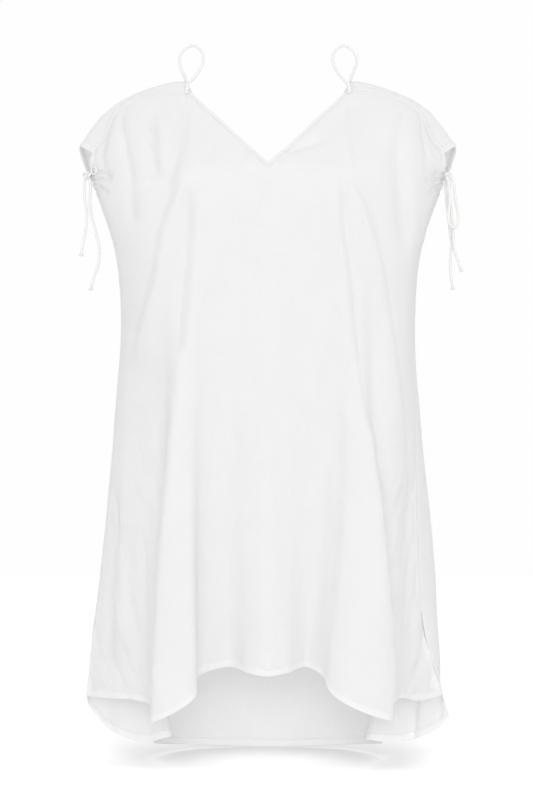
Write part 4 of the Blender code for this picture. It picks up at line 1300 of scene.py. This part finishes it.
def towards(at, aim):
    """The turn of a lamp that points from one place to another."""
    return (Vector(aim) - Vector(at)).to_track_quat("-Z", "Y").to_euler()


def add_lamp(kind, name, turn, at=(0.0, 0.0, 0.0), only=None, **settings):
    """A lamp that lights everything, or one object alone."""
    data = bpy.data.lights.new(name, kind)
    for key, value in settings.items():
        setattr(data, key, value)
    lamp = bpy.data.objects.new(name, data)
    lamp.location, lamp.rotation_euler = at, turn
    bpy.context.scene.collection.objects.link(lamp)
    if only is not None:
        receivers = bpy.data.collections.new(f"lit_by_{name}")
        receivers.objects.link(only)
        lamp.light_linking.receiver_collection = receivers


def add_lights(floor, back_cloth):
    """Soft lamps all round. One sun lights the floor alone, and the spot the back panel alone."""
    for name, at, power, size in LAMPS:
        add_lamp("AREA", name, towards(at, LAMPS_AIM), at, energy=power, size=size)
    for sun, only in ((TOP_SUN, None), (LOW_SUN, floor)):
        turn = (math.radians(sun.tilt), 0.0, 0.0)
        add_lamp("SUN", sun.name, turn, only=only, energy=sun.strength, angle=math.radians(sun.angle))
    add_lamp("SPOT", "under", towards(UNDER_AT, UNDER_AIM), UNDER_AT, back_cloth, energy=UNDER_POWER,
             shadow_soft_size=UNDER_SOFTNESS, spot_size=math.radians(UNDER_CONE), spot_blend=1.0)


def make_panels():
    """The nets of the front and the back, with all their relief."""
    front_guides = all_guides(FRONT_UPPER, FRONT_LOWER_LEFT, FRONT_LOWER_RIGHT)
    back_guides = all_guides(BACK_UPPER, BACK_LOWER_LEFT, BACK_LOWER_RIGHT)
    inner = range(NECK_GUIDE, LAST_GUIDE - NECK_GUIDE + 1)
    crisp = [BUST_CRISP if i in inner else 0.0 for i in range(LAST_GUIDE + 1)]
    front = Panel(front_guides, back_guides, -1, crisp)
    back = Panel(back_guides, front_guides, 1, [0.0] * len(crisp))
    share_seam_normals(front.normals, back.normals)
    front.move(relief(front, FRONT_CREASES, FRONT_SEED, FLAT_SEAM, crumpled=True))
    back.move(relief(back, BACK_CREASES, BACK_SEED, WRAPPED_SEAM))
    share_seam_normals(front.normals, back.normals)
    return {"front": front, "back": back}


def main():
    """Builds every piece, and then the stage around them."""
    add_camera()
    voile, hem, strip, cord = (woven(*weave) for weave in WEAVES)
    thread = thread_material()
    make_cords(cord)
    make_knots(cord)
    panels = make_panels()
    trims = {"front": [], "back": []}
    for key, panel in panels.items():
        trims[key] += neck_binding(f"cloth_neck_binding_{key}", f"neck_binding_{key}", panel, strip, thread)
        trims[key].append(stitches(f"cloth_{key}_hem_stitches", hem_lines(panel), thread))
    both = panels["front"], panels["back"]
    for suffix, column, side in (("l", 0, -1), ("r", LAST_COLUMN, 1)):
        casing, loop = f"sleeve_casing_{suffix}", f"strap_loop_{suffix}"
        trims["back"] += sleeve_casing(f"cloth_{casing}", casing, column, *both, strip, thread)
        strap_loop(f"cloth_{loop}", loop, side, *both, cord, thread)
    cloths = {}
    for key, panel in panels.items():
        cloth = cloths[key] = shell(f"cloth_{key}_panel", panel, [voile, hem])
        dress(cloth, f"{key}_panel")
    floor = add_floor()
    add_surroundings()
    add_lights(floor, cloths["back"])


main()
